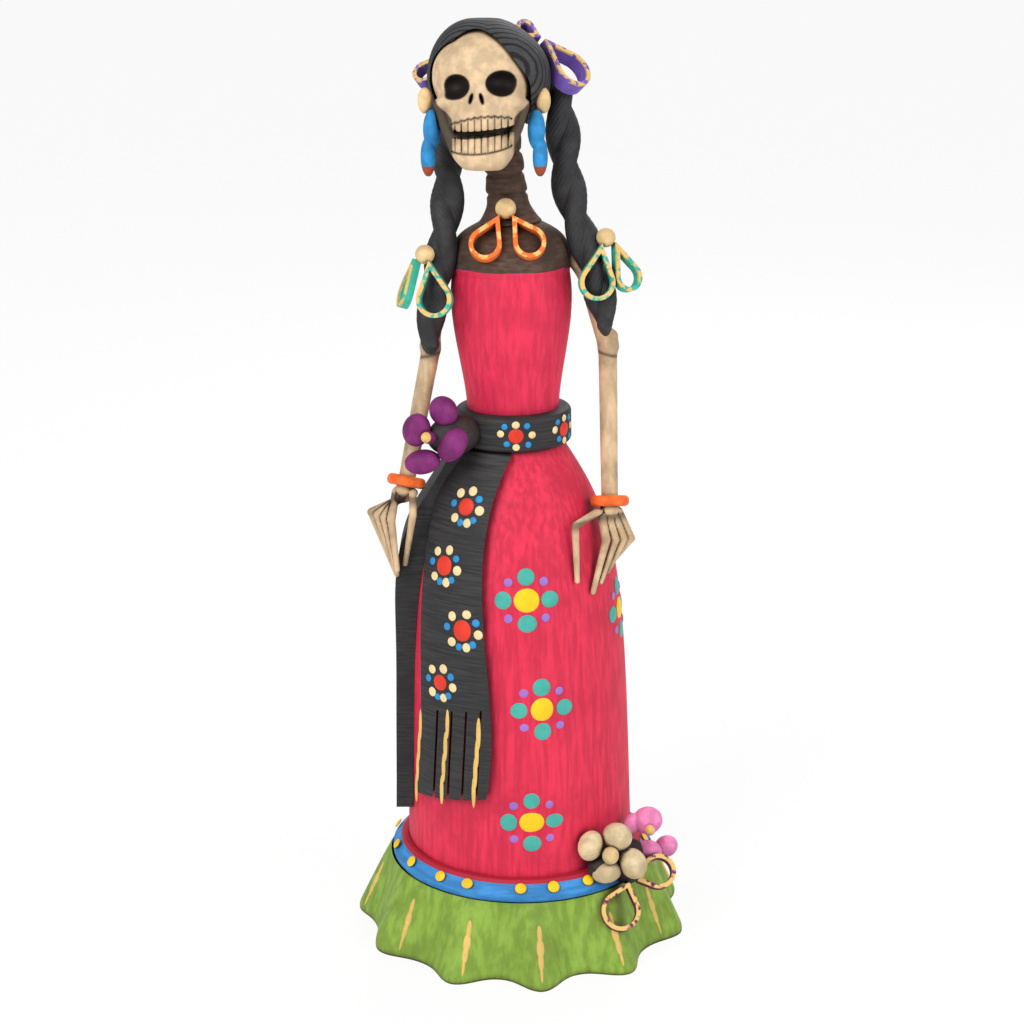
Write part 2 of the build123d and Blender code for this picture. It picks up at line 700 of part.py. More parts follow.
# Hair bows: strip loops pressed to the hair, two above the left ear and one behind the right
bow_z = crown_z - 8.0
with BuildPart() as left_hair_bow_lower_loop:
    add(drop_loop((hair_x + 21.3, 6, bow_z), (20, -3, -20), (0.55, -0.6, 0.64), 25, 17, 7))
    for neighbour in (hair_cap, left_braid):
        add(neighbour.part, mode=Mode.SUBTRACT)
left_hair_bow_lower_loop.part.label = "left_hair_bow_lower_loop"
export_step(left_hair_bow_lower_loop.part, "parts/left_hair_bow_lower_loop.step")
with BuildPart() as left_hair_bow_upper_loop:
    add(drop_loop((hair_x + 20.5, 6.5, bow_z + 1), (-9, 0.5, 4.5), (0.35, -0.75, 0.6), 11.5, 8.5, 6))
    for neighbour in (hair_cap, left_hair_bow_lower_loop):
        add(neighbour.part, mode=Mode.SUBTRACT)
left_hair_bow_upper_loop.part.label = "left_hair_bow_upper_loop"
export_step(left_hair_bow_upper_loop.part, "parts/left_hair_bow_upper_loop.step")
with BuildPart() as right_hair_bow_loop:
    add(drop_loop((hair_x - 21, 9, bow_z - 7), (-7, -3, -10), (-0.3, -0.6, 0.5), 13, 10, 6))
    add(hair_cap.part, mode=Mode.SUBTRACT)
right_hair_bow_loop.part.label = "right_hair_bow_loop"
export_step(right_hair_bow_loop.part, "parts/right_hair_bow_loop.step")


# Flowers: egg-shaped petals round a centre, standing on a lump of clay
def petals(centre, places):
    """Petals at offsets from the flower's centre, each with its half length, radius and long direction."""
    with BuildPart() as flower:
        for place, half_length, radius, direction in places:
            spot = [a + b for a, b in zip(centre, place)]
            add(pebble(spot, half_length, radius, direction))
    return flower.part


def beside_skirt(azimuth, height, stand_off):
    """Point off the leaning axis by the waist wrap's radius and a stand-off."""
    reach = waist_radius + belt_thickness + stand_off
    angle = math.radians(azimuth)
    return (lean_x(height) + reach * math.sin(angle), -reach * math.cos(angle), height)


waist_flower = beside_skirt(-49, belt_low_z + 8.5, 19.5)
with BuildPart() as waist_flower_petals:
    add(petals(waist_flower, (
        ((4.4, 3, 10.3), 6.5, 5.8, (-0.6, 0, 1)),
        ((-6.8, 1, 2.7), 7.0, 5.9, (0.2, 0, 1)),
        ((8.1, -1, -3.2), 7.8, 5.6, (0.7, 0, 1)),
        ((-4.4, -1, -10.5), 7.6, 5.2, (1, 0, 0.15)),
    )))
waist_flower_petals.part.label = "waist_flower_petals"
export_step(waist_flower_petals.part, "parts/waist_flower_petals.step")
with BuildPart() as waist_flower_bud:
    add(pebble([a + b for a, b in zip(waist_flower, (-1.5, -6, 1.2))], 5.5, 2.6, (-0.35, -0.85, 0.25)))
    add(waist_flower_petals.part, mode=Mode.SUBTRACT)
waist_flower_bud.part.label = "waist_flower_bud"
export_step(waist_flower_bud.part, "parts/waist_flower_bud.step")
with BuildPart() as waist_flower_pad:
    add(pebble(beside_skirt(-49, belt_low_z + 7.5, 8), 13, 8.5, (-0.75, -0.65, 0)))
    for neighbour in (waist_sash, skirt_core, bodice, sash_front_tail, sash_side_tail):
        add(neighbour.part, mode=Mode.SUBTRACT)
    for neighbour in (waist_flower_petals, waist_flower_bud):
        add(neighbour.part, mode=Mode.SUBTRACT)
waist_flower_pad.part.label = "waist_flower_pad"
export_step(waist_flower_pad.part, "parts/waist_flower_pad.step")

cream_flower = on_skirt(40.5, skirt_height - 17, 10.5)
with BuildPart() as cream_flower_petals:
    add(petals(cream_flower, (
        ((-9, 0, 3.9), 6.8, 5.4, (0.3, 0, 1)),
        ((2.6, 2.2, 7.2), 6.5, 5.9, (1, 0, -0.3)),
        ((9.5, 0, -4.5), 7.0, 5.9, (-0.5, 0, 1)),
        ((-2.0, -1.4, -7.8), 6.5, 4.8, (1, 0, 0.2)),
    )))
    add(skirt_core.part, mode=Mode.SUBTRACT)
    add(hem_band.part, mode=Mode.SUBTRACT)
cream_flower_petals.part.label = "cream_flower_petals"
export_step(cream_flower_petals.part, "parts/cream_flower_petals.step")
with BuildPart() as cream_flower_centre:
    add(pebble([a + b for a, b in zip(cream_flower, (-0.5, -4.0, 1.2))], 3.9, 3.6))
    add(cream_flower_petals.part, mode=Mode.SUBTRACT)
cream_flower_centre.part.label = "cream_flower_centre"
export_step(cream_flower_centre.part, "parts/cream_flower_centre.step")

pink_flower = on_skirt(65, skirt_height - 17, 13.0)
with BuildPart() as pink_flower_petals:
    add(petals(pink_flower, (
        ((-1, 1, 6.5), 6.6, 6.0, (1, 0, 0.2)),
        ((-8, 0, 5), 5.4, 3.4, (0.2, 0, 1)),
        ((-0.5, -2, -6.8), 6.2, 4.8, (1, 0, -0.2)),
        ((7.4, 2, -6.5), 5.4, 4.7, (1, 0, 0.7)),
    )))
    add(cream_flower_petals.part, mode=Mode.SUBTRACT)
pink_flower_petals.part.label = "pink_flower_petals"
export_step(pink_flower_petals.part, "parts/pink_flower_petals.step")
with BuildPart() as pink_flower_bud:
    add(pebble([a + b for a, b in zip(pink_flower, (-0.5, -6, 5))], 5.0, 2.4, (0, -0.8, 0.45)))
    add(pink_flower_petals.part, mode=Mode.SUBTRACT)
pink_flower_bud.part.label = "pink_flower_bud"
export_step(pink_flower_bud.part, "parts/pink_flower_bud.step")

with BuildPart() as base_bow_left_loop:
    bow_top = on_skirt(46, skirt_height - 3, 14.5)
    add(drop_loop(bow_top, (-5.9, -11, -16.5), (0.1, -0.83, 0.55), 21.5, 17, 6))
    for neighbour in (hem_ruffle, hem_band, cream_flower_petals):
        add(neighbour.part, mode=Mode.SUBTRACT)
base_bow_left_loop.part.label = "base_bow_left_loop"
export_step(base_bow_left_loop.part, "parts/base_bow_left_loop.step")
with BuildPart() as base_bow_right_loop:
    bow_top = on_skirt(50, skirt_height - 2, 15.5)
    add(drop_loop(bow_top, (12, 5, 3.5), (0.1, -0.8, 0.55), 18, 15, 6))
    for neighbour in (hem_ruffle, hem_band, cream_flower_petals, pink_flower_petals, base_bow_left_loop):
        add(neighbour.part, mode=Mode.SUBTRACT)
base_bow_right_loop.part.label = "base_bow_right_loop"
export_step(base_bow_right_loop.part, "parts/base_bow_right_loop.step")

with BuildPart() as base_flower_pad:
    add(pebble(on_skirt(49, skirt_height - 10, 5.5), 17, 8.0, (0.68, 0.73, 0)))
    add(pebble(on_skirt(49, skirt_height - 7, 9.5), 8, 6.0, (0.7, -0.6, -0.3)))
    for neighbour in (skirt_core, hem_band, hem_ruffle, cream_flower_petals, cream_flower_centre):
        add(neighbour.part, mode=Mode.SUBTRACT)
    for neighbour in (pink_flower_petals, pink_flower_bud, base_bow_left_loop, base_bow_right_loop):
        add(neighbour.part, mode=Mode.SUBTRACT)
base_flower_pad.part.label = "base_flower_pad"
export_step(base_flower_pad.part, "parts/base_flower_pad.step")
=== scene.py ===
import math

import bmesh
import bpy
import numpy as np
from mathutils import Matrix, Vector
from mathutils.bvhtree import BVHTree


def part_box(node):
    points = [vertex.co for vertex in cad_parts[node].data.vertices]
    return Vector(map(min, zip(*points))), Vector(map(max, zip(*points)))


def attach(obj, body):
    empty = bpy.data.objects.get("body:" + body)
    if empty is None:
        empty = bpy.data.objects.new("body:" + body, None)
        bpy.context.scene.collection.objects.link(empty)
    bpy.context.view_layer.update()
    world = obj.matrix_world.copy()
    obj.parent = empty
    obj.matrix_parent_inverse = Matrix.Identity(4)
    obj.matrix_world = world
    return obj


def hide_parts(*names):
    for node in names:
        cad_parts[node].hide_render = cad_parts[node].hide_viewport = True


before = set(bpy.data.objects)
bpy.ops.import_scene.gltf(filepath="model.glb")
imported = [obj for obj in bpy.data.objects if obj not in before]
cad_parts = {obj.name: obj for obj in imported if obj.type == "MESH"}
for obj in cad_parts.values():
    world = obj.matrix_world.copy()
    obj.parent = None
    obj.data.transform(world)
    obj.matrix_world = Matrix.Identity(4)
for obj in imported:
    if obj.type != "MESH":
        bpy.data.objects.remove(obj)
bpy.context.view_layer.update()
MM = 0.001

# The skirt is a hollow clay bell, thrown or coiled thin, scraped smooth and painted a brushed rose red.
# It leans a little to the figure's right. Its wall is even and its foot stands on the ruffle. All sizes are in mm.
bodice_plug = 8.0
foot_z, waist_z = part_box("skirt_shell")[0][2] / MM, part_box("bodice")[0][2] / MM + bodice_plug
waist_radius, hip_fullness, hip_drop, hip_curve, skirt_flare = 20.0, 25.5, 33.0, 1.21, 5.0
skirt_wall = 4.5
lean = math.tan(math.radians(0.93))


def lean_x(z):
    """Where the middle of the leaning figure is at a height."""
    return -lean * z


def skirt_radius(z):
    """The bell's radius: narrow waist, full hips, slight flare."""
    drop = np.maximum(waist_z - z, 0.0)
    hip = 1 - np.exp(-((drop / hip_drop) ** hip_curve))
    return waist_radius + hip_fullness * hip + skirt_flare * drop / (waist_z - foot_z)


def on_skirt(azimuth, drop, stand_off):
    """A point off the skirt, by degrees from the front to the figure's left, drop below the waist and distance off."""
    z = waist_z - drop
    reach = skirt_radius(z) + stand_off
    angle = math.radians(azimuth)
    return np.array((lean_x(z) + reach * math.sin(angle), -reach * math.cos(angle), z))


def paint(red, green, blue):
    """A paint's colour on the usual 0 to 255 scale, turned into the renderer's linear light."""
    return tuple((c / 255) ** 2.2 for c in (red, green, blue)) + (1.0,)


def node(tree, kind, **values):
    """Adds a node and sets its inputs by name or number, linking those given as sockets."""
    made = tree.nodes.new(kind)
    for name, value in values.items():
        if name.startswith("i_"):
            key = name[2:]
            key = int(key) if key.isdigit() else key.replace("_", " ")
            if isinstance(value, bpy.types.NodeSocket):
                tree.links.new(value, made.inputs[key])
            else:
                made.inputs[key].default_value = value
        else:
            setattr(made, name, value)
    return made


def mixed(tree, factor, first, second, blend="MIX"):
    """Mixes two colours by a factor."""
    made = node(tree, "ShaderNodeMix", data_type="RGBA", blend_type=blend)
    for key, value in ((0, factor), (6, first), (7, second)):
        if isinstance(value, bpy.types.NodeSocket):
            tree.links.new(value, made.inputs[key])
        else:
            made.inputs[key].default_value = value
    return made.outputs[2]


def ramp(tree, value, low, high, invert=False):
    """Maps a value to 0..1 between two bounds, smoothly."""
    made = node(tree, "ShaderNodeMapRange", interpolation_type="SMOOTHSTEP", i_Value=value)
    made.inputs["From Min"].default_value = low
    made.inputs["From Max"].default_value = high
    made.inputs["To Min"].default_value = 1.0 if invert else 0.0
    made.inputs["To Max"].default_value = 0.0 if invert else 1.0
    return made.outputs["Result"]


def painted_clay(name, colour, dark=(52, 36, 27), wash=0.85, wash_reach=3.5, streak=(200, 200, 200), streaks=0.09,
                 blotch=0.16, rough=0.62, ink=None, zones=(), comb=None, grain=0.25):
    """Brushed acrylic over fired clay: brush streaks, blotches, and a dark wash that stays in the crevices."""
    material = bpy.data.materials.new(name)
    material.use_nodes = True
    tree = material.node_tree
    tree.nodes.clear()
    place = node(tree, "ShaderNodeTexCoord").outputs["Object"]
    stretched = node(tree, "ShaderNodeMapping", i_Vector=place, i_Scale=streak).outputs[0]
    brush = node(tree, "ShaderNodeTexNoise", i_Vector=stretched, i_Scale=1.0, i_Detail=4.0).outputs[0]
    patch = node(tree, "ShaderNodeTexNoise", i_Vector=place, i_Scale=55.0, i_Detail=5.0, i_Roughness=0.6).outputs[0]
    speck = node(tree, "ShaderNodeTexNoise", i_Vector=place, i_Scale=900.0, i_Detail=3.0).outputs[0]
    base = paint(*colour)
    low = tuple(c * (1 - 2.2 * streaks) for c in base[:3]) + (1.0,)
    high = tuple(min(1.0, c * (1 + 1.6 * streaks) + 0.006) for c in base[:3]) + (1.0,)
    coat = mixed(tree, ramp(tree, brush, 0.35, 0.65), low, high)
    coat = mixed(tree, ramp(tree, patch, 0.42, 0.75), coat, tuple(c * (1 - blotch * 2.2) for c in base[:3]) + (1.0,))
    crevice = node(tree, "ShaderNodeAmbientOcclusion", samples=8, i_Distance=wash_reach * MM).outputs["AO"]
    stain = ramp(tree, crevice, 0.25, 0.8, invert=True)
    rub = node(tree, "ShaderNodeMath", operation="MULTIPLY", i_0=stain, i_1=ramp(tree, patch, 0.15, 0.55))
    keep = node(tree, "ShaderNodeMath", operation="MULTIPLY", i_0=rub.outputs[0], i_1=wash)
    coat = mixed(tree, keep.outputs[0], coat, paint(*dark))
    for facing, start, tint, *cover in zones:
        reach = node(tree, "ShaderNodeVectorMath", operation="DOT_PRODUCT", i_0=place, i_1=facing).outputs["Value"]
        mask = ramp(tree, reach, start - 0.15 * MM, start + 0.15 * MM)
        if cover:
            dry = node(tree, "ShaderNodeTexNoise", i_Vector=place, i_Scale=330.0, i_Detail=3.0).outputs[0]
            worn = ramp(tree, dry, cover[0] - 0.05, cover[0] + 0.05)
            mask = node(tree, "ShaderNodeMath", operation="MULTIPLY", i_0=mask, i_1=worn).outputs[0]
        coat = mixed(tree, mask, coat, paint(*tint))
    scored = None
    if comb:
        parting, slant, spacing = comb
        split = node(tree, "ShaderNodeSeparateXYZ", i_0=place).outputs
        away = node(tree, "ShaderNodeMath", operation="SUBTRACT", i_0=split[0], i_1=parting * MM).outputs[0]
        away = node(tree, "ShaderNodeMath", operation="ABSOLUTE", i_0=away).outputs[0]
        sweep = node(tree, "ShaderNodeMath", operation="MULTIPLY_ADD", i_0=away, i_1=-slant, i_2=split[1]).outputs[0]
        sweep = node(tree, "ShaderNodeMath", operation="MULTIPLY_ADD", i_0=patch, i_1=3.0 * MM, i_2=sweep).outputs[0]
        beat = 2 * math.pi / (spacing * MM)
        wave = node(tree, "ShaderNodeMath", operation="MULTIPLY", i_0=sweep, i_1=beat).outputs[0]
        wave = node(tree, "ShaderNodeMath", operation="SINE", i_0=wave).outputs[0]
        scored = ramp(tree, wave, 0.2, 0.95)
        coat = mixed(tree, scored, coat, paint(*dark))
    if ink:
        line = node(tree, "ShaderNodeAttribute", attribute_name="ink").outputs["Fac"]
        coat = mixed(tree, line, coat, paint(*ink))
    height = node(tree, "ShaderNodeMath", operation="MULTIPLY_ADD", i_0=brush, i_1=0.7, i_2=speck)
    bump = node(tree, "ShaderNodeBump", i_Height=height.outputs[0], i_Strength=grain, i_Distance=0.0004)
    if scored:
        ridge = node(tree, "ShaderNodeBump", i_Height=scored, i_Strength=0.9, i_Distance=0.0008, invert=True)
        tree.links.new(bump.outputs[0], ridge.inputs["Normal"])
        bump = ridge
    shader = node(tree, "ShaderNodeBsdfPrincipled", i_Base_Color=coat, i_Roughness=rough, i_Normal=bump.outputs[0])
    shader.inputs["Specular IOR Level"].default_value = 0.35
    out = node(tree, "ShaderNodeOutputMaterial")
    tree.links.new(shader.outputs[0], out.inputs[0])
    return material


def seat(piece, slot, *nodes):
    """Ties a finished piece to the figure's one body and hides the plain parts it stands for. The finish slot is not
    used.
    """
    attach(piece, "root")
    if nodes:
        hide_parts(*nodes)
    return piece


def make_piece(name, points, faces, materials, face_slots=None, marks=None):
    """A mesh object from points in mm, with its materials and any painted marks kept per point."""
    mesh = bpy.data.meshes.new(name)
    mesh.from_pydata((np.asarray(points) * MM).tolist(), [], [list(map(int, face)) for face in faces])
    for material in materials:
        mesh.materials.append(material)
    if face_slots is not None:
        mesh.polygons.foreach_set("material_index", np.asarray(face_slots, dtype=np.int32))
    for key, values in (marks or {}).items():
        layer = mesh.attributes.new(key, "FLOAT", "POINT")
        layer.data.foreach_set("value", np.asarray(values, dtype=np.float32))
    work = bmesh.new()
    work.from_mesh(mesh)
    bmesh.ops.recalc_face_normals(work, faces=work.faces)
    work.to_mesh(mesh)
    work.free()
    mesh.polygons.foreach_set("use_smooth", [True] * len(mesh.polygons))
    mesh.update()
    piece = bpy.data.objects.new(name, mesh)
    bpy.context.scene.collection.objects.link(piece)
    return piece


def wrap_rows(rows, closed_rows=False, caps=True):
    """Points and faces of a surface through rows of points, each row a closed ring."""
    rows = np.asarray(rows)
    count, around = rows.shape[:2]
    points = rows.reshape(-1, 3)
    faces = []
    for row in range(count if closed_rows else count - 1):
        here, there = row * around, ((row + 1) % count) * around
        for step in range(around):
            after = (step + 1) % around
            faces.append((here + step, here + after, there + after, there + step))
    if caps and not closed_rows:
        points = np.vstack([points, rows[0].mean(0), rows[-1].mean(0)])
        first, last = len(points) - 2, len(points) - 1
        for step in range(around):
            after = (step + 1) % around
            faces.append((first, after, step))
            faces.append((last, (count - 1) * around + step, (count - 1) * around + after))
    return points, faces


rose = painted_clay("rose_paint", (216, 42, 74), dark=(88, 22, 34), streak=(500, 500, 45), streaks=0.07,
                    blotch=0.10, wash=0.75, wash_reach=6.0)
around = np.linspace(0, 2 * math.pi, 160, endpoint=False)
rng = np.random.default_rng(7)


def hand_wobble(angle, z, size):
    """Slow unevenness of a hand-scraped surface."""
    return size * (np.sin(2 * angle + 0.021 * z) + 0.6 * np.sin(3 * angle - 0.034 * z + 1.3)
                   + 0.4 * np.sin(5 * angle + 0.05 * z + 2.1)) / 2


heights = np.concatenate([np.linspace(waist_z, waist_z - 50, 40), np.linspace(waist_z - 54, foot_z, 46)])
rows = []
for z in heights:
    reach = skirt_radius(z) + hand_wobble(around, z, 0.35)
    rows.append(np.stack([lean_x(z) + reach * np.sin(around), -reach * np.cos(around), np.full_like(around, z)], 1))
for z in heights[::-1]:
    reach = skirt_radius(z) - skirt_wall + 0 * around
    rows.append(np.stack([lean_x(z) + reach * np.sin(around), -reach * np.cos(around), np.full_like(around, z)], 1))
points, faces = wrap_rows(rows, closed_rows=True)
seat(make_piece("skirt_bell", points, faces, [rose]), "red", "skirt_shell")

# The hem ruffle is a strip of clay gathered in soft folds round the skirt's foot, so that it flares to the floor.
# It is painted leaf green, with the patina left in the valleys and a stroke of gold down the ridge of a fold.
leaf_green = painted_clay("leaf_green_paint", (132, 164, 62), dark=(74, 66, 30), streak=(300, 300, 60), streaks=0.09,
                          blotch=0.14, wash=0.9, wash_reach=9.0)
ruffle_folds, first_fold, ruffle_foot, ruffle_depth = 11, 7.0, 71.5, 5.2
band_width, band_height = 7.5, 8.0
ruffle_top = float(skirt_radius(foot_z)) + band_width + 1.0


def node_group(name, **inputs):
    """An empty geometry node group and the sockets of its named inputs, each given with its kind."""
    made = bpy.data.node_groups.new(name, "GeometryNodeTree")
    made.interface.new_socket("Geometry", in_out="OUTPUT", socket_type="NodeSocketGeometry")
    for label, kind in inputs.items():
        made.interface.new_socket(label, in_out="INPUT", socket_type="NodeSocket" + kind)
    return made, node(made, "NodeGroupInput").outputs


def calc(operation, *values):
    """A math node in the group being built."""
    inputs = {f"i_{number}": value for number, value in enumerate(values)}
    return node(tree, "ShaderNodeMath", operation=operation, **inputs).outputs[0]


def aim(operation, first, second):
    """A vector math node in the group being built."""
    return node(tree, "ShaderNodeVectorMath", operation=operation, i_0=first, i_1=second).outputs[0]


def end_group(geometry, material):
    """Makes the group's result real, paints it and sends it out."""
    real = node(tree, "GeometryNodeRealizeInstances", i_Geometry=geometry).outputs[0]
    coated = node(tree, "GeometryNodeSetMaterial", i_Geometry=real, i_Material=material).outputs[0]
    tree.links.new(coated, node(tree, "NodeGroupOutput").inputs[0])


def bent_sheet(sheet, spots, weld):
    """A grid moved to its worked-out spots, with the edges that meet welded."""
    shaped = node(tree, "GeometryNodeSetPosition", i_Geometry=sheet.outputs[0], i_Position=spots).outputs[0]
    return node(tree, "GeometryNodeMergeByDistance", i_Geometry=shaped, i_Distance=weld).outputs[0]


def grown(name, mesh, group, **values):
    """A plain mesh piece: what a node group makes of a mesh, with the group's named inputs set."""
    maker = bpy.data.objects.new(name + "_maker", mesh)
    bpy.context.scene.collection.objects.link(maker)
    modifier = maker.modifiers.new("grow", "NODES")
    modifier.node_group = group
    for item in group.interface.items_tree:
        if item.item_type == "SOCKET" and item.in_out == "INPUT" and item.name in values:
            modifier[item.identifier] = values[item.name]
    graph = bpy.context.evaluated_depsgraph_get()
    made = bpy.data.meshes.new_from_object(maker.evaluated_get(graph))
    work = bmesh.new()
    work.from_mesh(made)
    bmesh.ops.remove_doubles(work, verts=work.verts, dist=1e-7)
    bmesh.ops.recalc_face_normals(work, faces=work.faces)
    work.to_mesh(made)
    work.free()
    made.polygons.foreach_set("use_smooth", [True] * len(made.polygons))
    made.name = name
    bpy.data.objects.remove(maker)
    piece = bpy.data.objects.new(name, made)
    bpy.context.scene.collection.objects.link(piece)
    return piece


tree, given = node_group("gathered_ruffle", folds="Float", first_fold="Float", foot_radius="Float", top_radius="Float",
                         fold_depth="Float", height="Float", wall="Float")
sheet_grid = node(tree, "GeometryNodeMeshGrid", i_Size_X=1.0, i_Size_Y=1.0, i_Vertices_X=397, i_Vertices_Y=65)
where = node(tree, "ShaderNodeSeparateXYZ", i_0=node(tree, "GeometryNodeInputPosition").outputs[0]).outputs
turn = calc("MULTIPLY", calc("ADD", where[0], 0.5), 2 * math.pi)
run = calc("MULTIPLY", calc("ADD", where[1], 0.5), 2.0)
inner = calc("GREATER_THAN", run, 1.0)
share = calc("SUBTRACT", 1.0, calc("ABSOLUTE", calc("SUBTRACT", run, 1.0)))
rise = calc("SUBTRACT", 1.0, share)
phase = calc("ADD", calc("MULTIPLY", calc("SUBTRACT", turn, given["first_fold"]), given["folds"]),
             calc("MULTIPLY", calc("SINE", calc("MULTIPLY", turn, 3.0)), 0.35))
fold = calc("COSINE", phase)
crest = calc("MULTIPLY", calc("ADD", fold, calc("MULTIPLY", calc("COSINE", calc("MULTIPLY", phase, 2.0)), 0.12)),
             calc("ADD", 0.85, calc("MULTIPLY", calc("SINE", calc("ADD", calc("MULTIPLY", turn, 2.0), 1.0)), 0.18)))
swell = calc("POWER", calc("MAXIMUM", calc("SUBTRACT", 1.0, rise), 0.0001), 0.55)
flare = calc("ADD", given["top_radius"],
             calc("MULTIPLY", calc("SUBTRACT", given["foot_radius"], given["top_radius"]),
                  calc("POWER", calc("MAXIMUM", calc("SUBTRACT", 1.0, rise), 0.0001), 1.05)))
lip = calc("SUBTRACT", 1.0, calc("MINIMUM", calc("MULTIPLY", rise, 9.0), 1.0))
lip = calc("MULTIPLY", calc("POWER", lip, 2.0), 0.0012)
wave = calc("MULTIPLY", calc("MULTIPLY", crest, given["fold_depth"]), swell)
reach = calc("SUBTRACT", calc("ADD", flare, wave), lip)
reach = calc("SUBTRACT", reach, calc("MULTIPLY", inner, given["wall"]))
spot = node(tree, "ShaderNodeCombineXYZ", i_0=calc("MULTIPLY", reach, calc("SINE", turn)),
            i_1=calc("MULTIPLY", calc("MULTIPLY", reach, calc("COSINE", turn)), -1.0),
            i_2=calc("MULTIPLY", rise, given["height"])).outputs[0]
end_group(bent_sheet(sheet_grid, spot, 0.00001), leaf_green)
ruffle = grown("hem_ruffle_gathered", bpy.data.meshes.new("ruffle_start"), tree, folds=float(ruffle_folds),
               first_fold=math.radians(first_fold), foot_radius=ruffle_foot * MM, top_radius=ruffle_top * MM,
               fold_depth=ruffle_depth * MM, height=foot_z * MM, wall=skirt_wall * MM)
seat(ruffle, "green", "hem_ruffle")

# The hem band is a rounded coil pressed round the skirt's foot where the ruffle hangs from it.
# It is painted sky blue, with a thin red line along its upper edge.

def coat(node_name, material):
    """Gives a plain CAD piece its painted finish."""
    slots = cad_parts[node_name].data.materials
    for number in range(len(slots)):
        slots[number] = material
    if not len(slots):
        slots.append(material)


band_blue = painted_clay("sky_blue_paint", (58, 138, 206), dark=(28, 40, 60), streak=(80, 80, 500), blotch=0.14,
                         zones=[((0, 0, 1), (foot_z + band_height - 1.3) * MM, (176, 36, 56))])
coat("hem_band", band_blue)

# The painted dots are drops of thick acrylic set down with the end of a brush, so each stands up as a low dome.
# Dot flowers climb the skirt's front and the sash, and single dots run along the hem band.
tree, given = node_group("paint_daubs", spots="Geometry", paint="Material", spread="Float")
turned = node(tree, "GeometryNodeInputNamedAttribute", data_type="FLOAT_VECTOR", i_Name="turn").outputs[0]
sized = node(tree, "GeometryNodeInputNamedAttribute", data_type="FLOAT_VECTOR", i_Name="size").outputs[0]
dome = node(tree, "GeometryNodeMeshUVSphere", i_Segments=20, i_Rings=10, i_Radius=1.0).outputs[0]
spread = node(tree, "ShaderNodeCombineXYZ", i_0=given["spread"], i_1=given["spread"], i_2=1.0).outputs[0]
drops = node(tree, "GeometryNodeInstanceOnPoints", i_Points=given["spots"], i_Instance=dome,
             i_Rotation=node(tree, "FunctionNodeEulerToRotation", i_0=turned).outputs[0],
             i_Scale=aim("MULTIPLY", sized, spread))
end_group(drops.outputs[0], given["paint"])
daub_tree = tree
dot_rise, dot_spread = 0.45, 1.0


def daubs(name, marks, material, slot):
    """Domed paint marks, each with its point, outward and along directions, half sizes, and the bend of what it is on."""
    spots, turns, sizes = [], [], []
    for point, outward, along, half_long, half_wide, bend in marks:
        out = Vector(outward).normalized()
        side = out.cross(Vector(along)).normalized()
        front = side.cross(out)
        sink = max(half_long, half_wide) ** 2 / (2.2 * bend)
        spots.append((Vector(point) - out * sink) * MM)
        matrix = Matrix((front, side, out)).transposed()
        turns.append(matrix.to_euler())
        sizes.append((half_long * MM * rng.uniform(0.93, 1.07), half_wide * MM * rng.uniform(0.93, 1.07),
                      (dot_rise + sink) * MM))
    mesh = bpy.data.meshes.new(name + "_spots")
    mesh.from_pydata([tuple(spot) for spot in spots], [], [])
    for key, values in (("turn", turns), ("size", sizes)):
        layer = mesh.attributes.new(key, "FLOAT_VECTOR", "POINT")
        layer.data.foreach_set("vector", [c for value in values for c in value])
    return seat(grown(name, mesh, daub_tree, paint=material, spread=dot_spread), slot)


def skirt_spot(azimuth, z, stand_off=0.0):
    """A point on the bell and the way it faces."""
    angle = math.radians(azimuth)
    slope = float(skirt_radius(z - 0.5) - skirt_radius(z + 0.5))
    return on_skirt(azimuth, waist_z - z, stand_off), (math.sin(angle), -math.cos(angle), slope)


def ring_of_dots(azimuth, z, stand_off, distance, angles, half):
    """Dots round a flower's middle, laid on the bell's surface."""
    marks = []
    for angle in angles:
        across, up = distance * math.cos(math.radians(angle)), distance * math.sin(math.radians(angle))
        reach = float(skirt_radius(z)) + stand_off
        spot, out = skirt_spot(azimuth + math.degrees(across / reach), z + up * 0.98, stand_off)
        marks.append((spot, out, (0, 0, 1), half, half, reach))
    return marks


def dab(name, red, green, blue, **more):
    """A thick paint for dots: little streak, slight sheen."""
    return painted_clay(name, (red, green, blue), streaks=0.03, blotch=0.07, wash=0.5, wash_reach=1.2, rough=0.5,
                        grain=0.12, **more)


yellow, teal = dab("yellow_dots", 250, 200, 20), dab("teal_dots", 70, 172, 158)
lilac, red_dot = dab("lilac_dots", 156, 114, 196), dab("red_dots", 224, 56, 36)
cream_dot, blue_dot = dab("cream_dots", 240, 214, 158), dab("blue_dots", 38, 140, 204)
gilt = dab("gold_paint", 226, 186, 104, dark=(96, 62, 28))
skirt_flowers = ((5.8, 164.7), (12.4, 117.1), (6.1, 66.4), (78.0, 150.0), (112.0, 101.0), (146.0, 160.0),
                 (150.0, 70.0), (-150.0, 152.0), (-148.0, 92.0), (178.0, 116.0))
marks = {"yellow": [], "teal": [], "lilac": []}
for azimuth, z in skirt_flowers:
    marks["yellow"] += ring_of_dots(azimuth, z, 0.0, 0.0, (0,), 5.2)
    marks["teal"] += ring_of_dots(azimuth, z, 0.0, 10.0, (90, 180, 0, -90), 3.9)
    marks["lilac"] += ring_of_dots(azimuth, z, 0.0, 11.0, (45, 135, -135, -45), 1.9)
daubs("skirt_yellow_dots", marks["yellow"], yellow, "gold")
daubs("skirt_teal_dots", marks["teal"], teal, "turquoise")
daubs("skirt_lilac_dots", marks["lilac"], lilac, "violet")
tail_flowers = ((-32.7, 23.7, 3.6), (-40.7, 48.5, 4.1), (-27.1, 74.0, 4.5), (-39.2, 98.9, 3.8))
tail_face = 4.5
marks = {"red": [], "cream": [], "blue": []}
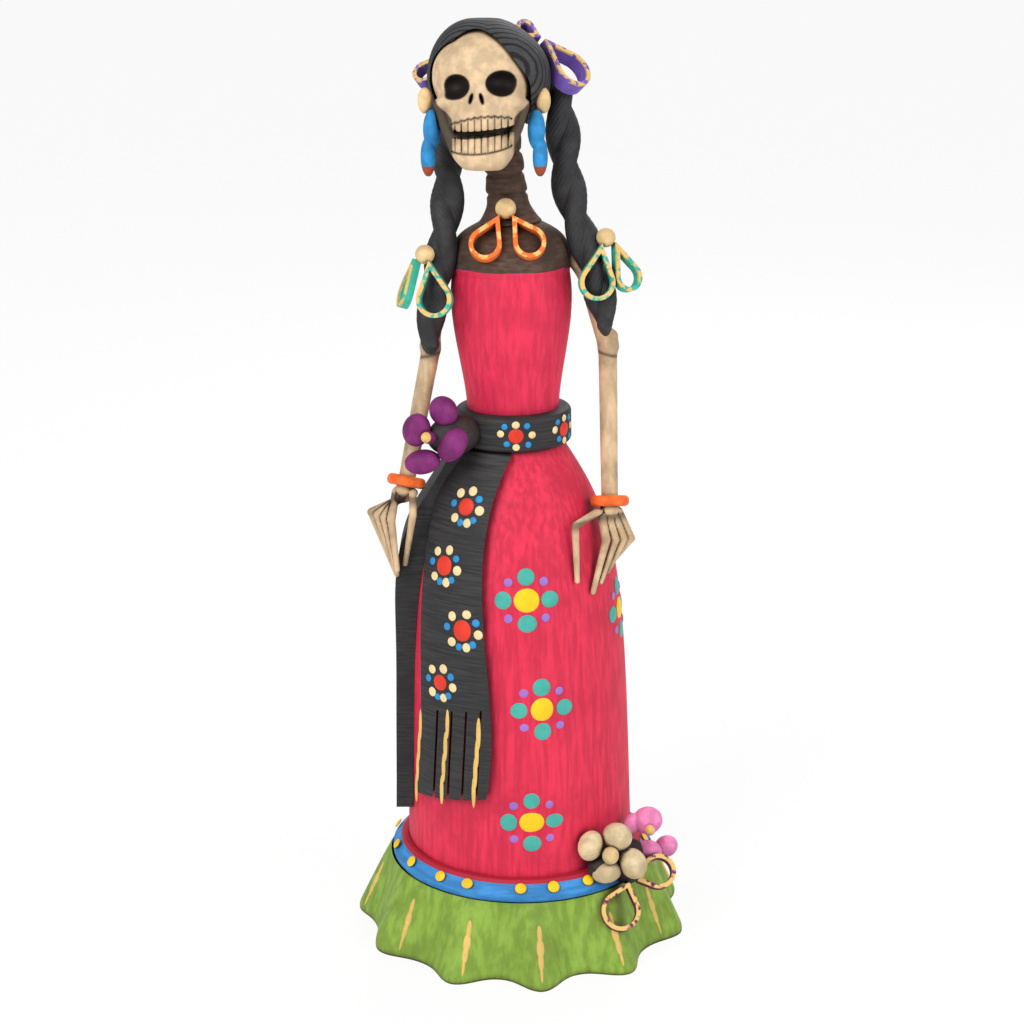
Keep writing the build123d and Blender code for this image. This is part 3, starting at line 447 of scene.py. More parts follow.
for azimuth, drop, half in tail_flowers:
    z = waist_z - drop
    marks["red"] += ring_of_dots(azimuth, z, tail_face, 0.0, (0,), half)
    marks["cream"] += ring_of_dots(azimuth, z, tail_face, half + 3.0, (75, 133, -130, -73, -7), 2.0)
    marks["blue"] += ring_of_dots(azimuth, z, tail_face, half + 3.0, (33, 176, -48, -100), 1.6)
belt_reach = 24.8


def belt_spot(azimuth, z, half):
    """A dot on the belt's upright face."""
    angle = math.radians(azimuth)
    spot = (lean_x(z) + belt_reach * math.sin(angle), -belt_reach * math.cos(angle), z)
    return spot, (math.sin(angle), -math.cos(angle), 0), (0, 0, 1), half, half, belt_reach


for middle in (2.4, 60.0, 118.0, 176.0, -126.0):
    z = 230.6
    marks["red"].append(belt_spot(middle, z, 3.4))
    for away, rise in ((0, 4.8), (-15, 0.9), (16, 0.3), (0, -4.8)):
        marks["cream"].append(belt_spot(middle + away, z + rise, 1.6))
    for away, rise in ((-11, 4.0), (11, 4.2), (-9, -3.4), (12, -3.8)):
        marks["blue"].append(belt_spot(middle + away, z + rise, 1.35))
daubs("sash_red_dots", marks["red"], red_dot, "red")
daubs("sash_cream_dots", marks["cream"], cream_dot, "cream")
daubs("sash_blue_dots", marks["blue"], blue_dot, "blue")
band_marks = []
for azimuth in (-38.0, -24.0, 0.0, 14.5, 31.0, 62.0, 84.0, 106.0, 128.0, 150.0, 172.0, -166.0, -144.0, -122.0,
                -100.0, -78.0, -58.0):
    angle = math.radians(azimuth)
    reach = float(skirt_radius(foot_z)) + band_width - 1.2
    spot = (lean_x(foot_z + 6.4) + reach * math.sin(angle), -reach * math.cos(angle), foot_z + 6.0)
    band_marks.append((spot, (math.sin(angle), -math.cos(angle), 0.75), (0, 0, 1), 2.4, 2.6, 20.0))
daubs("band_yellow_dots", band_marks, yellow, "gold")

# Gold is drawn down the ridges of the ruffle's folds and along the sash's fringe with a loaded pointed brush.
# Each stroke is thick where the brush lands and thins to nothing where it lifts off.
ruffle_face = BVHTree.FromPolygons([v.co / MM for v in ruffle.data.vertices],
                                   [p.vertices for p in ruffle.data.polygons])
strokes = []
for azimuth in (-88.0, -50.0, -20.5, 6.5, 36.0, 64.0, 103.0, 136.0, 170.0, -158.0, -124.0):
    angle = math.radians(azimuth)
    for share, wide in ((0.34, 1.1), (0.5, 1.7), (0.64, 1.3), (0.78, 0.7)):
        z = foot_z * (1 - share)
        away = Vector((math.sin(angle), -math.cos(angle), 0))
        hit, normal, _, _ = ruffle_face.ray_cast(away * 110 + Vector((0, 0, z)), -away)
        if hit:
            normal = normal if normal.dot(away) > 0 else -normal
            strokes.append((hit, normal, (away + Vector((0, 0, -2.4))).normalized(), 4.4, wide, 26.0))
daubs("ruffle_gold_strokes", strokes, gilt, "gold")
fringe_strokes = []
tongues = (((-52.2, 117.6), (-56.6, 155.2)), ((-34.3, 112.6), (-38.7, 151.1)), ((-18.2, 115.0), (-21.5, 148.4)))
for start, end in tongues:
    for share in (0.1, 0.37, 0.63, 0.9):
        azimuth, drop = (start[n] + (end[n] - start[n]) * share for n in (0, 1))
        spot, out = skirt_spot(azimuth, waist_z - drop, tail_face)
        fringe_strokes.append((spot, out, (0, 0, -1), 7.0, 1.0, 400.0))
daubs("fringe_gold_strokes", fringe_strokes, gilt, "gold")

# The sash is one black slab wound round the waist: a belt with a front tail cut into a fringe and a side tail.
# Its face keeps the fine level scratches of the tool that smoothed it.
sash_black = painted_clay("sash_black_paint", (48, 47, 48), dark=(34, 24, 20), streak=(60, 60, 1400), streaks=0.16,
                          blotch=0.10, grain=0.35)
for name in ("waist_sash", "sash_front_tail", "sash_side_tail"):
    coat(name, sash_black)

# The bodice is a solid tapered clay waist under the skirt's rose paint, with a sweetheart edge raised over the chest.
# The edge is a thin strip of clay painted a brighter magenta.
bodice_rose = painted_clay("bodice_rose_paint", (216, 42, 76), dark=(92, 22, 44), streak=(500, 500, 60), streaks=0.06,
                           blotch=0.09, wash=0.7, wash_reach=5.0)
coat("bodice", bodice_rose)
bodice_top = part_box("bodice")[1][2] / MM
neckline_width, neckline_depth = 24.5, 20.5
chest_narrowing = 0.35
magenta_edge = painted_clay("magenta_edge_paint", (226, 34, 132), dark=(80, 16, 46), wash=0.6)
round_angles = np.linspace(0, 2 * math.pi, 220, endpoint=False)
side_x = np.sin(round_angles) * neckline_width
peaks = 3.6 * np.exp(-((side_x + 8.5) / 6.5) ** 2) + 3.6 * np.exp(-((side_x - 13.5) / 6.5) ** 2)
edge_rise = 0.9 + peaks * (np.cos(round_angles) > 0) * np.clip(np.cos(round_angles) * 3, 0, 1)
rows = []
edge_section = ((0.0, -2.4), (0.2, -1.6), (0.35, 0.0), (0.45, 0.55), (0.45, 0.9), (0.1, 1.0), (-1.4, 0.8), (-1.4, -2.4))
for off, share in edge_section:
    z = bodice_top + (edge_rise * share if share > 0 else share + 0 * edge_rise)
    slim = np.clip(z - bodice_top, 0, None) * chest_narrowing
    rows.append(np.stack([lean_x(z) + (neckline_width + off - 0.1 * slim) * np.sin(round_angles),
                          -(neckline_depth + off - slim) * np.cos(round_angles), z], 1))
points, faces = wrap_rows(rows, closed_rows=True)
shades = [1 if row in (3, 4, 5) else 0 for row in range(len(edge_section)) for _ in round_angles]
seat(make_piece("bodice_neckline_edge", points, faces, [bodice_rose, magenta_edge], shades), "red")

# The chest and neck are bare brown slip, rubbed dark, with the neck marked by rings like bones.
# The neck grows out of the chest and tips forward under the skull.
bare_brown = painted_clay("brown_slip", (84, 64, 52), dark=(36, 24, 18), streak=(200, 200, 700), streaks=0.14,
                          blotch=0.2, rough=0.7)
coat("chest", bare_brown)
neck_foot, neck_head, neck_radius = np.array((-5.2, 0.0, 317.0)), np.array((-9.45, 3.0, 355.0)), 8.2
neck_rings = (0.30, 0.52, 0.74)
rows = []
for share in np.linspace(0, 1, 90):
    middle = neck_foot + (neck_head - neck_foot) * share
    cut = sum(math.exp(-(((share - ring) / 0.022) ** 2)) for ring in neck_rings)
    reach = neck_radius + 5.0 * math.exp(-share * 9) - 0.9 * cut + 0.25 * math.sin(share * 23)
    turn = np.linspace(0, 2 * math.pi, 64, endpoint=False)
    rows.append(np.stack([middle[0] + reach * np.sin(turn), middle[1] - reach * np.cos(turn),
                          middle[2] + 0.6 * np.sin(turn) + 0 * turn], 1))
points, faces = wrap_rows(rows)
seat(make_piece("ringed_neck", points, faces, [bare_brown]), "brown", "neck")

# The skull is modelled clay: sockets scooped out, nose slits cut with a blade, and teeth scored one by one.
# The lower jaw is a second lump joined by two posts, with a dark gap left between the rows of teeth.
head_x, mouth_top, mouth_foot, jaw_foot = -16.55, 357.5, 354.9, 341.9
tooth_width, tooth_groove, mouth_slope = 2.65, 0.85, 0.10


def soft_join(one, two, size):
    """Union of two fields with a filleted seam."""
    share = np.clip(0.5 + 0.5 * (two - one) / size, 0, 1)
    return two * (1 - share) + one * share - size * share * (1 - share)


def egg(x, y, z, centre, radii, tilt=0.0):
    """Distance field of an ellipsoid, tilted in the front view."""
    dx, dy, dz = x - centre[0], y - centre[1], z - centre[2]
    turn = math.radians(tilt)
    dx, dz = dx * math.cos(turn) + dz * math.sin(turn), -dx * math.sin(turn) + dz * math.cos(turn)
    near = np.sqrt((dx / radii[0]) ** 2 + (dy / radii[1]) ** 2 + (dz / radii[2]) ** 2) + 1e-6
    grade = np.sqrt((dx / radii[0] ** 2) ** 2 + (dy / radii[1] ** 2) ** 2 + (dz / radii[2] ** 2) ** 2) + 1e-6
    return near * (near - 1) / grade


def rod(x, y, z, start, end, radius, end_radius=None):
    """Distance field of a round bar, tapered when an end radius is given."""
    start, end = np.asarray(start, float), np.asarray(end, float)
    along = end - start
    share = np.clip(((x - start[0]) * along[0] + (y - start[1]) * along[1] + (z - start[2]) * along[2])
                    / float(along @ along), 0, 1)
    gap = np.sqrt((x - start[0] - along[0] * share) ** 2 + (y - start[1] - along[1] * share) ** 2
                  + (z - start[2] - along[2] * share) ** 2)
    return gap - (radius + ((radius if end_radius is None else end_radius) - radius) * share)


def sculpt(name, field, low, high, step, materials, marks):
    """A closed mesh of the zero surface of a field, by surface nets, with painted marks from point functions."""
    axes = [np.arange(low[n], high[n] + step, step) for n in range(3)]
    grid = np.meshgrid(*axes, indexing="ij")
    values = field(*grid).astype(np.float32)
    cells = tuple(size - 1 for size in values.shape)
    total = np.zeros(cells + (3,), np.float32)
    count = np.zeros(cells, np.float32)
    for axis in range(3):
        others = [n for n in range(3) if n != axis]
        for first in (0, 1):
            for second in (0, 1):
                shift = [0, 0, 0]
                shift[others[0]], shift[others[1]] = first, second
                begin = values[tuple(slice(s, s + c) for s, c in zip(shift, cells))]
                shift_end = list(shift)
                shift_end[axis] = 1
                finish = values[tuple(slice(s, s + c) for s, c in zip(shift_end, cells))]
                crossing = (begin < 0) != (finish < 0)
                share = np.where(crossing, begin / np.where(crossing, begin - finish, 1), 0)
                for n in range(3):
                    total[..., n] += crossing * (shift[n] + (share if n == axis else 0))
                count += crossing
    active = count > 0
    number = -np.ones(cells, np.int64)
    number[active] = np.arange(active.sum())
    corner = np.argwhere(active)
    points = (corner + total[active] / count[active][:, None]) * step + np.asarray(low)
    faces = []
    for axis in range(3):
        begin = values[tuple(slice(0, -1) if n == axis else slice(1, -1) for n in range(3))]
        finish = values[tuple(slice(1, None) if n == axis else slice(1, -1) for n in range(3))]
        spots = np.argwhere((begin < 0) != (finish < 0))
        spots[:, [n for n in range(3) if n != axis]] += 1
        one, two = [n for n in range(3) if n != axis]
        quad = []
        for back_one, back_two in ((1, 1), (0, 1), (0, 0), (1, 0)):
            place = spots.copy()
            place[:, one] -= back_one
            place[:, two] -= back_two
            quad.append(number[place[:, 0], place[:, 1], place[:, 2]])
        faces.append(np.stack(quad, 1))
    faces = np.concatenate(faces)
    x, y, z = points.T
    return make_piece(name, points, faces, materials, marks={key: made(x, y, z) for key, made in marks.items()})


def sockets(x, y, z):
    """The two eye hollows, their outer ends lower."""
    left = egg(x, y, z, (head_x - 1 + 10.0, -30.0, 375.9), (6.9, 9.0, 4.8), -3)
    right = egg(x, y, z, (head_x - 1 - 10.2, -30.0, 374.4), (6.2, 9.0, 4.8), 15)
    return np.minimum(left, right)


def nose_slits(x, y, z):
    """Two narrow slanted cuts."""
    left = egg(x, y, z, (head_x - 2.0 + 2.1, -32.0, 370.2), (0.6, 4.0, 2.1), 16)
    right = egg(x, y, z, (head_x - 2.0 - 2.1, -32.0, 370.2), (0.6, 4.0, 2.1), -16)
    return np.minimum(left, right)


def upper_gum(x):
    """Height of the upper teeth's roots: an arch, scalloped over each tooth."""
    scallop = 0.5 * np.cos(math.pi * (x - head_x) / tooth_width) ** 2
    return 360.6 + 2.2 * np.clip(1 - ((x - head_x) / 12.0) ** 2, 0, 1) + scallop


def lower_gum(x):
    """Height of the lower teeth's roots, a shallow smile."""
    return 348.6 + 1.3 * np.clip(((x - head_x) / 12.0) ** 2, 0, 1)


def mouth_level(x, z):
    """Height measured square to the bite, which slopes up to the figure's left."""
    return z - mouth_slope * (x - head_x)


def tooth_cuts(x, y, z):
    """How deep the scored lines of the teeth go: between teeth, and along the gums."""
    z = mouth_level(x, z)
    step = np.abs(np.mod((x - head_x) / tooth_width, 1.0) - 0.5) * 2
    between = np.clip((0.30 - (1 - step)) / 0.30, 0, 1)
    upper = (z > mouth_top - 0.5) & (z < upper_gum(x))
    lower = (z < mouth_foot + 0.5) & (z > lower_gum(x))
    rows_of = (upper | lower) & (y < -18) & (np.abs(x - head_x) < 12.3)
    line = np.maximum(np.exp(-((z - upper_gum(x)) / 0.45) ** 2), np.exp(-((z - lower_gum(x)) / 0.45) ** 2))
    return np.maximum(between * rows_of, line * (y < -18) * (np.abs(x - head_x) < 12.3))


def mouth(x, y, z):
    """The black filling of the open mouth."""
    return egg(x, y, mouth_level(x, z), (head_x, -16.5, 356.2), (10.5, 11.5, 3.6))


def skull_field(x, y, z):
    """The whole head but the hair."""
    head = egg(x, y, z, (head_x, -8.0, 377.2), (20.2, 22.0, 20.0))
    head = soft_join(head, egg(x, y, z, (head_x, -19.0, 366.0), (13.6, 12.5, 11.5)), 5.0)
    for side in (-1, 1):
        head = soft_join(head, egg(x, y, z, (head_x + side * 13.0, -20.5, 368.2), (5.2, 6.5, 3.6), side * -14), 2.5)
    head = soft_join(head, egg(x, y, z, (head_x, -20.5, 361.0), (13.2, 12.8, 7.5)), 3.0)
    head = -soft_join(-head, sockets(x, y, z), 1.2)
    head = np.maximum(head, -nose_slits(x, y, z))
    head = np.maximum(head, mouth_top - mouth_level(x, z))
    jaw = egg(x, y, z, (head_x + 0.4, -24.0, 349.0), (12.5, 9.6, 8.6))
    jaw = soft_join(jaw, egg(x, y, z, (head_x + 0.8, -27.5, 344.5), (8.4, 5.0, 3.6)), 3.0)
    jaw = np.maximum(np.maximum(jaw, mouth_level(x, z) - mouth_foot), jaw_foot - 0.2 - z)
    for side in (-1, 1):
        bend = (head_x + side * 14.0, -17.0, 357.5)
        post = np.minimum(rod(x, y, z, (head_x + side * 9.8, -21.5, 349.5), bend, 3.2, 2.8),
                          rod(x, y, z, bend, (head_x + side * 16.0, -13.5, 366.0), 2.8, 3.4))
        jaw = soft_join(jaw, post, 2.0)
    whole = np.minimum(head, jaw) + tooth_groove * tooth_cuts(x, y, z)
    return np.minimum(whole, mouth(x, y, z))


def skull_ink(x, y, z):
    """Where the maker rubbed black: hollows, slits, the mouth and the scored lines."""
    hollow = np.clip((0.75 - sockets(x, y, z)) / 0.4, 0, 1)
    slit = np.clip((0.5 - nose_slits(x, y, z)) / 0.4, 0, 1)
    dark_mouth = np.clip((0.35 - mouth(x, y, z)) / 0.3, 0, 1)
    shelf = (np.abs(mouth_level(x, z) - 356.2) < 1.5) * 1.0
    out = np.abs(x - head_x - 0.6)
    side = np.clip((out - 12.0) / 0.7, 0, 1) * np.clip((361.8 + 0.9 * (out - 12.0) - z) / 0.8, 0, 1) * 0.86
    return np.clip(np.maximum.reduce([hollow, slit, dark_mouth, shelf * 0.8, tooth_cuts(x, y, z) * 0.95, side]), 0, 1)


bone = painted_clay("bone_paint", (214, 184, 146), dark=(58, 40, 28), streak=(240, 240, 240), streaks=0.07,
                    blotch=0.14,
                    ink=(30, 22, 19), wash=0.95, wash_reach=4.5, grain=0.2)
seat(sculpt("modelled_skull", skull_field, (-40, -36, 339), (7, 17, 400), 0.5, [bone], {"ink": skull_ink}),
     "bone", "skull", "lower_jaw")

# Arms, hands and finger coils are rolled clay in the skull's bone white, with the patina left between the coils.
# The bracelets are coils of orange, with painted shade on the side away from the light.
limb_bone = painted_clay("limb_bone_paint", (206, 176, 138), dark=(58, 40, 28), streak=(260, 260, 60), streaks=0.08,
                         blotch=0.24, wash=0.95, wash_reach=3.2, ink=(46, 30, 22))
limbs = {
    "left": (1, ((18.6, 2, 304), (26.6, 3, 296), (36.35, 2, 262)), on_skirt(66, 29, 8.8),
             [(on_skirt(58 + 5.7 * n, 40.5 + 0.9 * n, 6 + 1.7 * n),
               on_skirt(45.7 + 6.2 * n, 61.3 - 3.4 * n, 1.5 + 0.8 * n))
              for n in range(4)], (-5, -3, 0), (on_skirt(37, 31.5, 5.5), on_skirt(35.5, 55, 1.5))),
    "right": (-1, ((-28.4, 2, 304), (-35.4, 3, 295), (-38.75, 1, 262)), on_skirt(-72, 21, 17.2),
              [(on_skirt(-77.1 + 3.6 * n, 31.2 + 0.25 * n, 26.5 - 2 * n),
                on_skirt(-70.5 + 2.2 * n, 58 - 1.4 * n, 10.6 + 0.9 * n))
               for n in range(4)], (3.6, -5, 0), (on_skirt(-60, 29.5, 14), on_skirt(-68.5, 53, 8.2))),
}


def finger_fields(x, y, z, limb):
    """One field for each finger coil: a thick run over the hand, a knuckle and a thinner run to the tip."""
    side, _, wrist, fingers, thumb_step, (bend, thumb_tip) = limb
    fields = []
    for n, (knuckle, tip) in enumerate(fingers):
        spread = (n - 1.5) * 2.6
        start = wrist + np.array((side * spread, 0.3 * spread, -1.0))
        back = rod(x, y, z, start, knuckle, 1.75, 1.85)
        fields.append(np.minimum(back, rod(x, y, z, knuckle, tip, 1.7, 1.15)))
    thumb_root = rod(x, y, z, wrist + np.array(thumb_step), bend, 1.7, 1.6)
    fields.append(np.minimum(thumb_root, rod(x, y, z, bend, thumb_tip, 1.6, 1.15)))
    return fields


def limb_field(x, y, z, limb):
    """Shoulder to fingertips: upper arm, elbow with its knob, forearm with a knobbed wrist, and the finger coils."""
    side, (shoulder, upper, elbow), wrist, _, _, _ = limb
    elbow = np.asarray(elbow, float)
    arm = soft_join(rod(x, y, z, shoulder, upper, 3.5, 4.1), rod(x, y, z, upper, elbow, 4.0, 3.6), 2.0)
    arm = soft_join(arm, rod(x, y, z, elbow + (side * 0.6, 0, 2.0), elbow + (side * 1.2, 0, 5.5), 4.3, 3.2), 2.0)
    arm = soft_join(arm, rod(x, y, z, elbow, wrist, 4.0, 3.5), 1.2)
    arm = soft_join(arm, rod(x, y, z, wrist, wrist + (0, 0, -2.5), 3.7, 3.0), 1.5)
    hand = finger_fields(x, y, z, limb)
    whole = hand[0]
    for finger in hand[1:]:
        whole = soft_join(whole, finger, 0.35)
    return soft_join(arm, whole, 1.2)


def limb_ink_and_shadow(x, y, z, limb):
    """Dark lines where two finger coils meet, the notch of the elbow, and a painted shadow on the hand under the
    bracelet.
    """
    ordered = np.sort(np.stack(finger_fields(x, y, z, limb)), axis=0)
    seam = np.clip((0.75 - (ordered[1] - ordered[0])) / 0.45, 0, 1) * (ordered[0] < 1.0)
    elbow = limb[1][2]
    notch = np.exp(-((z - elbow[2] + 1.6 + 0.25 * limb[0] * (x - elbow[0])) / 0.7) ** 2) * (y < elbow[1] + 1) * 0.8
    # A painted shadow of the bracelet: a dark band on the hand just below the wrist.
    under = np.clip((limb[2][2] - z - 0.5) / 1.0, 0, 1) * np.clip((z - limb[2][2] + 6.0) / 3.0, 0, 1) * 0.7
    return np.clip(np.maximum.reduce([seam, notch, under]), 0, 1)


for side, limb in limbs.items():
    every = np.array([*limb[1], limb[2], *(p for pair in limb[3] for p in pair), *limb[5]], float)
    low, high = every.min(0) - 7.0, every.max(0) + 7.0
    arm = sculpt(f"{side}_arm_and_hand", lambda x, y, z, limb=limb: limb_field(x, y, z, limb), low, high, 0.55,
                 [limb_bone], {"ink": lambda x, y, z, limb=limb: limb_ink_and_shadow(x, y, z, limb)})
    seat(arm, "bone", f"{side}_arm", f"{side}_fingers", f"{side}_thumb")
    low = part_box(f"{side}_bracelet")[0][2]
    # The bracelet's lower side is painted dark brown: painted shade where the light does not reach.
    band = painted_clay(f"{side}_bracelet_orange", (244, 106, 40), dark=(80, 34, 20),
                        zones=[((0, 0, -1), -(low + 0.0022), (80, 38, 24))])
    coat(f"{side}_bracelet", band)

# The hair is a thick black cap combed from a parting to the braids, each comb line scored into the clay.
# The braids are two rolls twisted together, hanging over the shoulders, with their ends pressed against the arms.
hair_black = painted_clay("combed_hair_black", (62, 63, 66), dark=(26, 20, 18), streaks=0.08, blotch=0.10,
                          comb=(-14.2, 0.45, 2.3))
coat("hair_cap", hair_black)
braid_black = painted_clay("braid_black", (50, 50, 52), dark=(24, 18, 16), streaks=0.10, blotch=0.12, wash=0.95,
                           wash_reach=4.0, ink=(26, 21, 20))
tree, given = node_group("twisted_braid", path="Geometry", paint="Material", turns="Float", strand_radius="Float",
                         strand_offset="Float")
path = node(tree, "GeometryNodeMeshToCurve", i_Mesh=given["path"]).outputs[0]
sheet_grid = node(tree, "GeometryNodeMeshGrid", i_Size_X=1.0, i_Size_Y=1.0, i_Vertices_X=241, i_Vertices_Y=97)
where = node(tree, "ShaderNodeSeparateXYZ", i_0=node(tree, "GeometryNodeInputPosition").outputs[0]).outputs
along = calc("ADD", where[0], 0.5)
turn = calc("MULTIPLY", calc("ADD", where[1], 0.5), 2 * math.pi)
picked = node(tree, "GeometryNodeSampleCurve", data_type="FLOAT", i_Curves=path, i_Factor=along,
              i_Value=node(tree, "GeometryNodeInputNamedAttribute", data_type="FLOAT", i_Name="width").outputs[0])
picked.mode = "FACTOR"
spot, heading, width = picked.outputs["Position"], picked.outputs["Tangent"], picked.outputs["Value"]
across = aim("CROSS_PRODUCT", heading, (0.0, 1.0, 0.0))
across = node(tree, "ShaderNodeVectorMath", operation="NORMALIZE", i_0=across).outputs[0]
forth = aim("CROSS_PRODUCT", heading, across)
phase = calc("SUBTRACT", turn, calc("MULTIPLY", along, calc("MULTIPLY", given["turns"], 2 * math.pi)))
lift = calc("ABSOLUTE", calc("COSINE", phase))
sway = calc("MULTIPLY", given["strand_offset"], calc("SINE", phase))
inside = calc("MAXIMUM", calc("SUBTRACT", calc("POWER", given["strand_radius"], 2.0), calc("POWER", sway, 2.0)), 0.0)
roll = calc("ADD", calc("MULTIPLY", given["strand_offset"], lift), calc("SQRT", inside))
hairs = calc("SINE", calc("ADD", calc("MULTIPLY", phase, 22.0), calc("MULTIPLY", along, 9.0)))
hairs = calc("MULTIPLY", hairs, 0.00016)
close = calc("MULTIPLY", calc("MINIMUM", along, calc("SUBTRACT", 1.0, along)), 22.0)
close = calc("POWER", calc("MINIMUM", close, 1.0), 0.5)
reach = calc("MULTIPLY", calc("MULTIPLY", calc("ADD", roll, hairs), width), close)
for direction, part in ((across, "COSINE"), (forth, "SINE")):
    step = calc("MULTIPLY", reach, calc(part, turn))
    step = node(tree, "ShaderNodeVectorMath", operation="SCALE", i_0=direction, i_Scale=step).outputs[0]
    spot = aim("ADD", spot, step)
end_group(bent_sheet(sheet_grid, spot, 0.00002), given["paint"])
strand_radius, strand_offset, braid_pitch = 4.7, 2.3, 46.0
braid_paths = {
    "left": (((13.95, 12, 374), (16.45, 9, 356), (18.45, 4.5, 335), (21.95, 0, 320), (27.2, -6.5, 305),
              (32.7, -10.5, 286), (35.2, -10, 270)), (0.95, 1.03, 1.03, 1.0, 0.97, 0.95, 0.5)),
    "right": (((-32.05, 13, 368), (-32.05, 9, 352), (-31.05, 3, 335), (-31.55, -2.5, 321), (-34.3, -8.5, 300),
               (-38.3, -10.5, 277), (-38.7, -9.5, 262)), (0.95, 1.03, 1.03, 1.0, 0.97, 0.86, 0.72)),
}


def smooth_path(knots, extra, count):
    """Even curve through knots, carrying one more value along."""
    knots = np.column_stack([np.asarray(knots, float), extra])
    padded = np.vstack([2 * knots[0] - knots[1], knots, 2 * knots[-1] - knots[-2]])
    made = []
    for span in range(len(knots) - 1):
        a, b, c, d = padded[span:span + 4]
        for share in np.linspace(0, 1, count, endpoint=span == len(knots) - 2):
            made.append(0.5 * (2 * b + (c - a) * share + (2 * a - 5 * b + 4 * c - d) * share ** 2
                               + (3 * b - a - 3 * c + d) * share ** 3))
    return np.asarray(made)


for side, (knots, widths) in braid_paths.items():
    route = smooth_path(knots, widths, 12)
    mesh = bpy.data.meshes.new(f"{side}_braid_path")
    mesh.from_pydata((route[:, :3] * MM).tolist(), [(n, n + 1) for n in range(len(route) - 1)], [])
    layer = mesh.attributes.new("width", "FLOAT", "POINT")
    layer.data.foreach_set("value", route[:, 3].astype(np.float32))
    length = float(np.linalg.norm(np.diff(route[:, :3], axis=0), axis=1).sum())
    braid = grown(f"{side}_braid_twisted", mesh, tree, paint=braid_black, strand_radius=strand_radius * MM,
                  turns=(1 if side == "left" else -1) * length / braid_pitch, strand_offset=strand_offset * MM)
    seat(braid, "charcoal", f"{side}_braid")

# The ribbons are strips of clay bent into loops and stuck on by their points, each with its front edge gilded.
# Beads and buds hold them: small pinched balls of gold and cream.
gold_rgb = (226, 186, 112)
rim_depth = 0.9


def gilded_front(node_name, facing, cover=0.44):
    """Zone of a plain piece within the rim's depth of its frontmost edge."""
    facing = Vector(facing).normalized()
    front = max(facing.dot(v.co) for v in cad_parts[node_name].data.vertices)
    return (tuple(facing), front - rim_depth * MM, gold_rgb, cover)


turquoise_rgb, violet_rgb, orange_rgb, plum_rgb = (62, 184, 156), (122, 92, 184), (252, 116, 44), (116, 30, 88)
ribbons = {
    "pendant_left_loop": (orange_rgb, (0.03, -0.905, 0.425)),
    "pendant_right_loop": (orange_rgb, (-0.03, -0.905, 0.425)),
    "left_braid_bow_inner_loop": (turquoise_rgb, (0.2, -0.95, 0.2)),
    "left_braid_bow_outer_loop": (turquoise_rgb, (0.5, -0.83, 0.3)),
    "right_braid_bow_inner_loop": (turquoise_rgb, (-0.2, -0.95, 0.2)),
    "right_braid_bow_outer_loop": (turquoise_rgb, (-0.93, -0.2, 0.3)),
    "left_hair_bow_lower_loop": (violet_rgb, (0.55, -0.6, 0.64)),
    "left_hair_bow_upper_loop": (violet_rgb, (0.35, -0.75, 0.6)),
    "right_hair_bow_loop": (violet_rgb, (-0.3, -0.6, 0.5)),
    "base_bow_left_loop": (plum_rgb, (0.1, -0.83, 0.55)), "base_bow_right_loop": (plum_rgb, (0.1, -0.8, 0.55)),
}
for name, (colour, facing) in ribbons.items():
    rim = gilded_front(name, facing, 0.53 if colour is orange_rgb else 0.45)
    coat(name, painted_clay(name + "_paint", colour, dark=(50, 34, 28), streaks=0.05, zones=[rim]))
bead_gold = painted_clay("bead_gold_paint", (228, 194, 140), dark=(92, 62, 34), streaks=0.08, blotch=0.14)
for name in ("left_ear_bead", "right_ear_bead", "pendant_bead", "left_braid_bow_bead", "right_braid_bow_bead"):
    coat(name, bead_gold)

# Each earring is two pinched drops one above the other, dipped in blue with the clay left bare at the lower tip.
# They are stuck to the ear bead and lean on the cheek.
for side in ("left", "right"):
    coat(f"{side}_earring_upper_drop", painted_clay(f"{side}_upper_drop_blue", (44, 136, 198), dark=(34, 36, 50)))
    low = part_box(f"{side}_earring_lower_drop")[0][2]
    coat(f"{side}_earring_lower_drop", painted_clay(f"{side}_lower_drop_blue", (44, 136, 198), dark=(34, 36, 50),
                                                    zones=[((0, 0, -1), -(low + 0.0042), (150, 74, 52))]))

# The flowers are flattened balls pressed round a bud on a black pad: purple at the waist, cream and pink at the hem.
# Their paint is thin, so the patina shows wherever two petals meet.
for name, colour in (("waist_flower_petals", (126, 38, 108)), ("cream_flower_petals", (216, 194, 152)),
                     ("cream_flower_centre", (232, 200, 146)), ("pink_flower_petals", (240, 138, 190))):
    coat(name, painted_clay(name + "_paint", colour, dark=(52, 30, 30), wash=0.95, wash_reach=4.0, blotch=0.18))
for name, facing, colour in (("waist_flower_bud", (-0.35, -0.85, 0.25), (126, 38, 108)),
                             ("pink_flower_bud", (0, -0.8, 0.45), (240, 138, 190))):
    vector, start, gold_colour, _ = gilded_front(name, facing)
    coat(name, painted_clay(name + "_paint", colour, zones=[(vector, start - 1.6 * MM, gold_colour)]))
pad_black = painted_clay("pad_black", (54, 48, 46), dark=(28, 22, 20), blotch=0.2)
coat("waist_flower_pad", pad_black)
coat("base_flower_pad", pad_black)

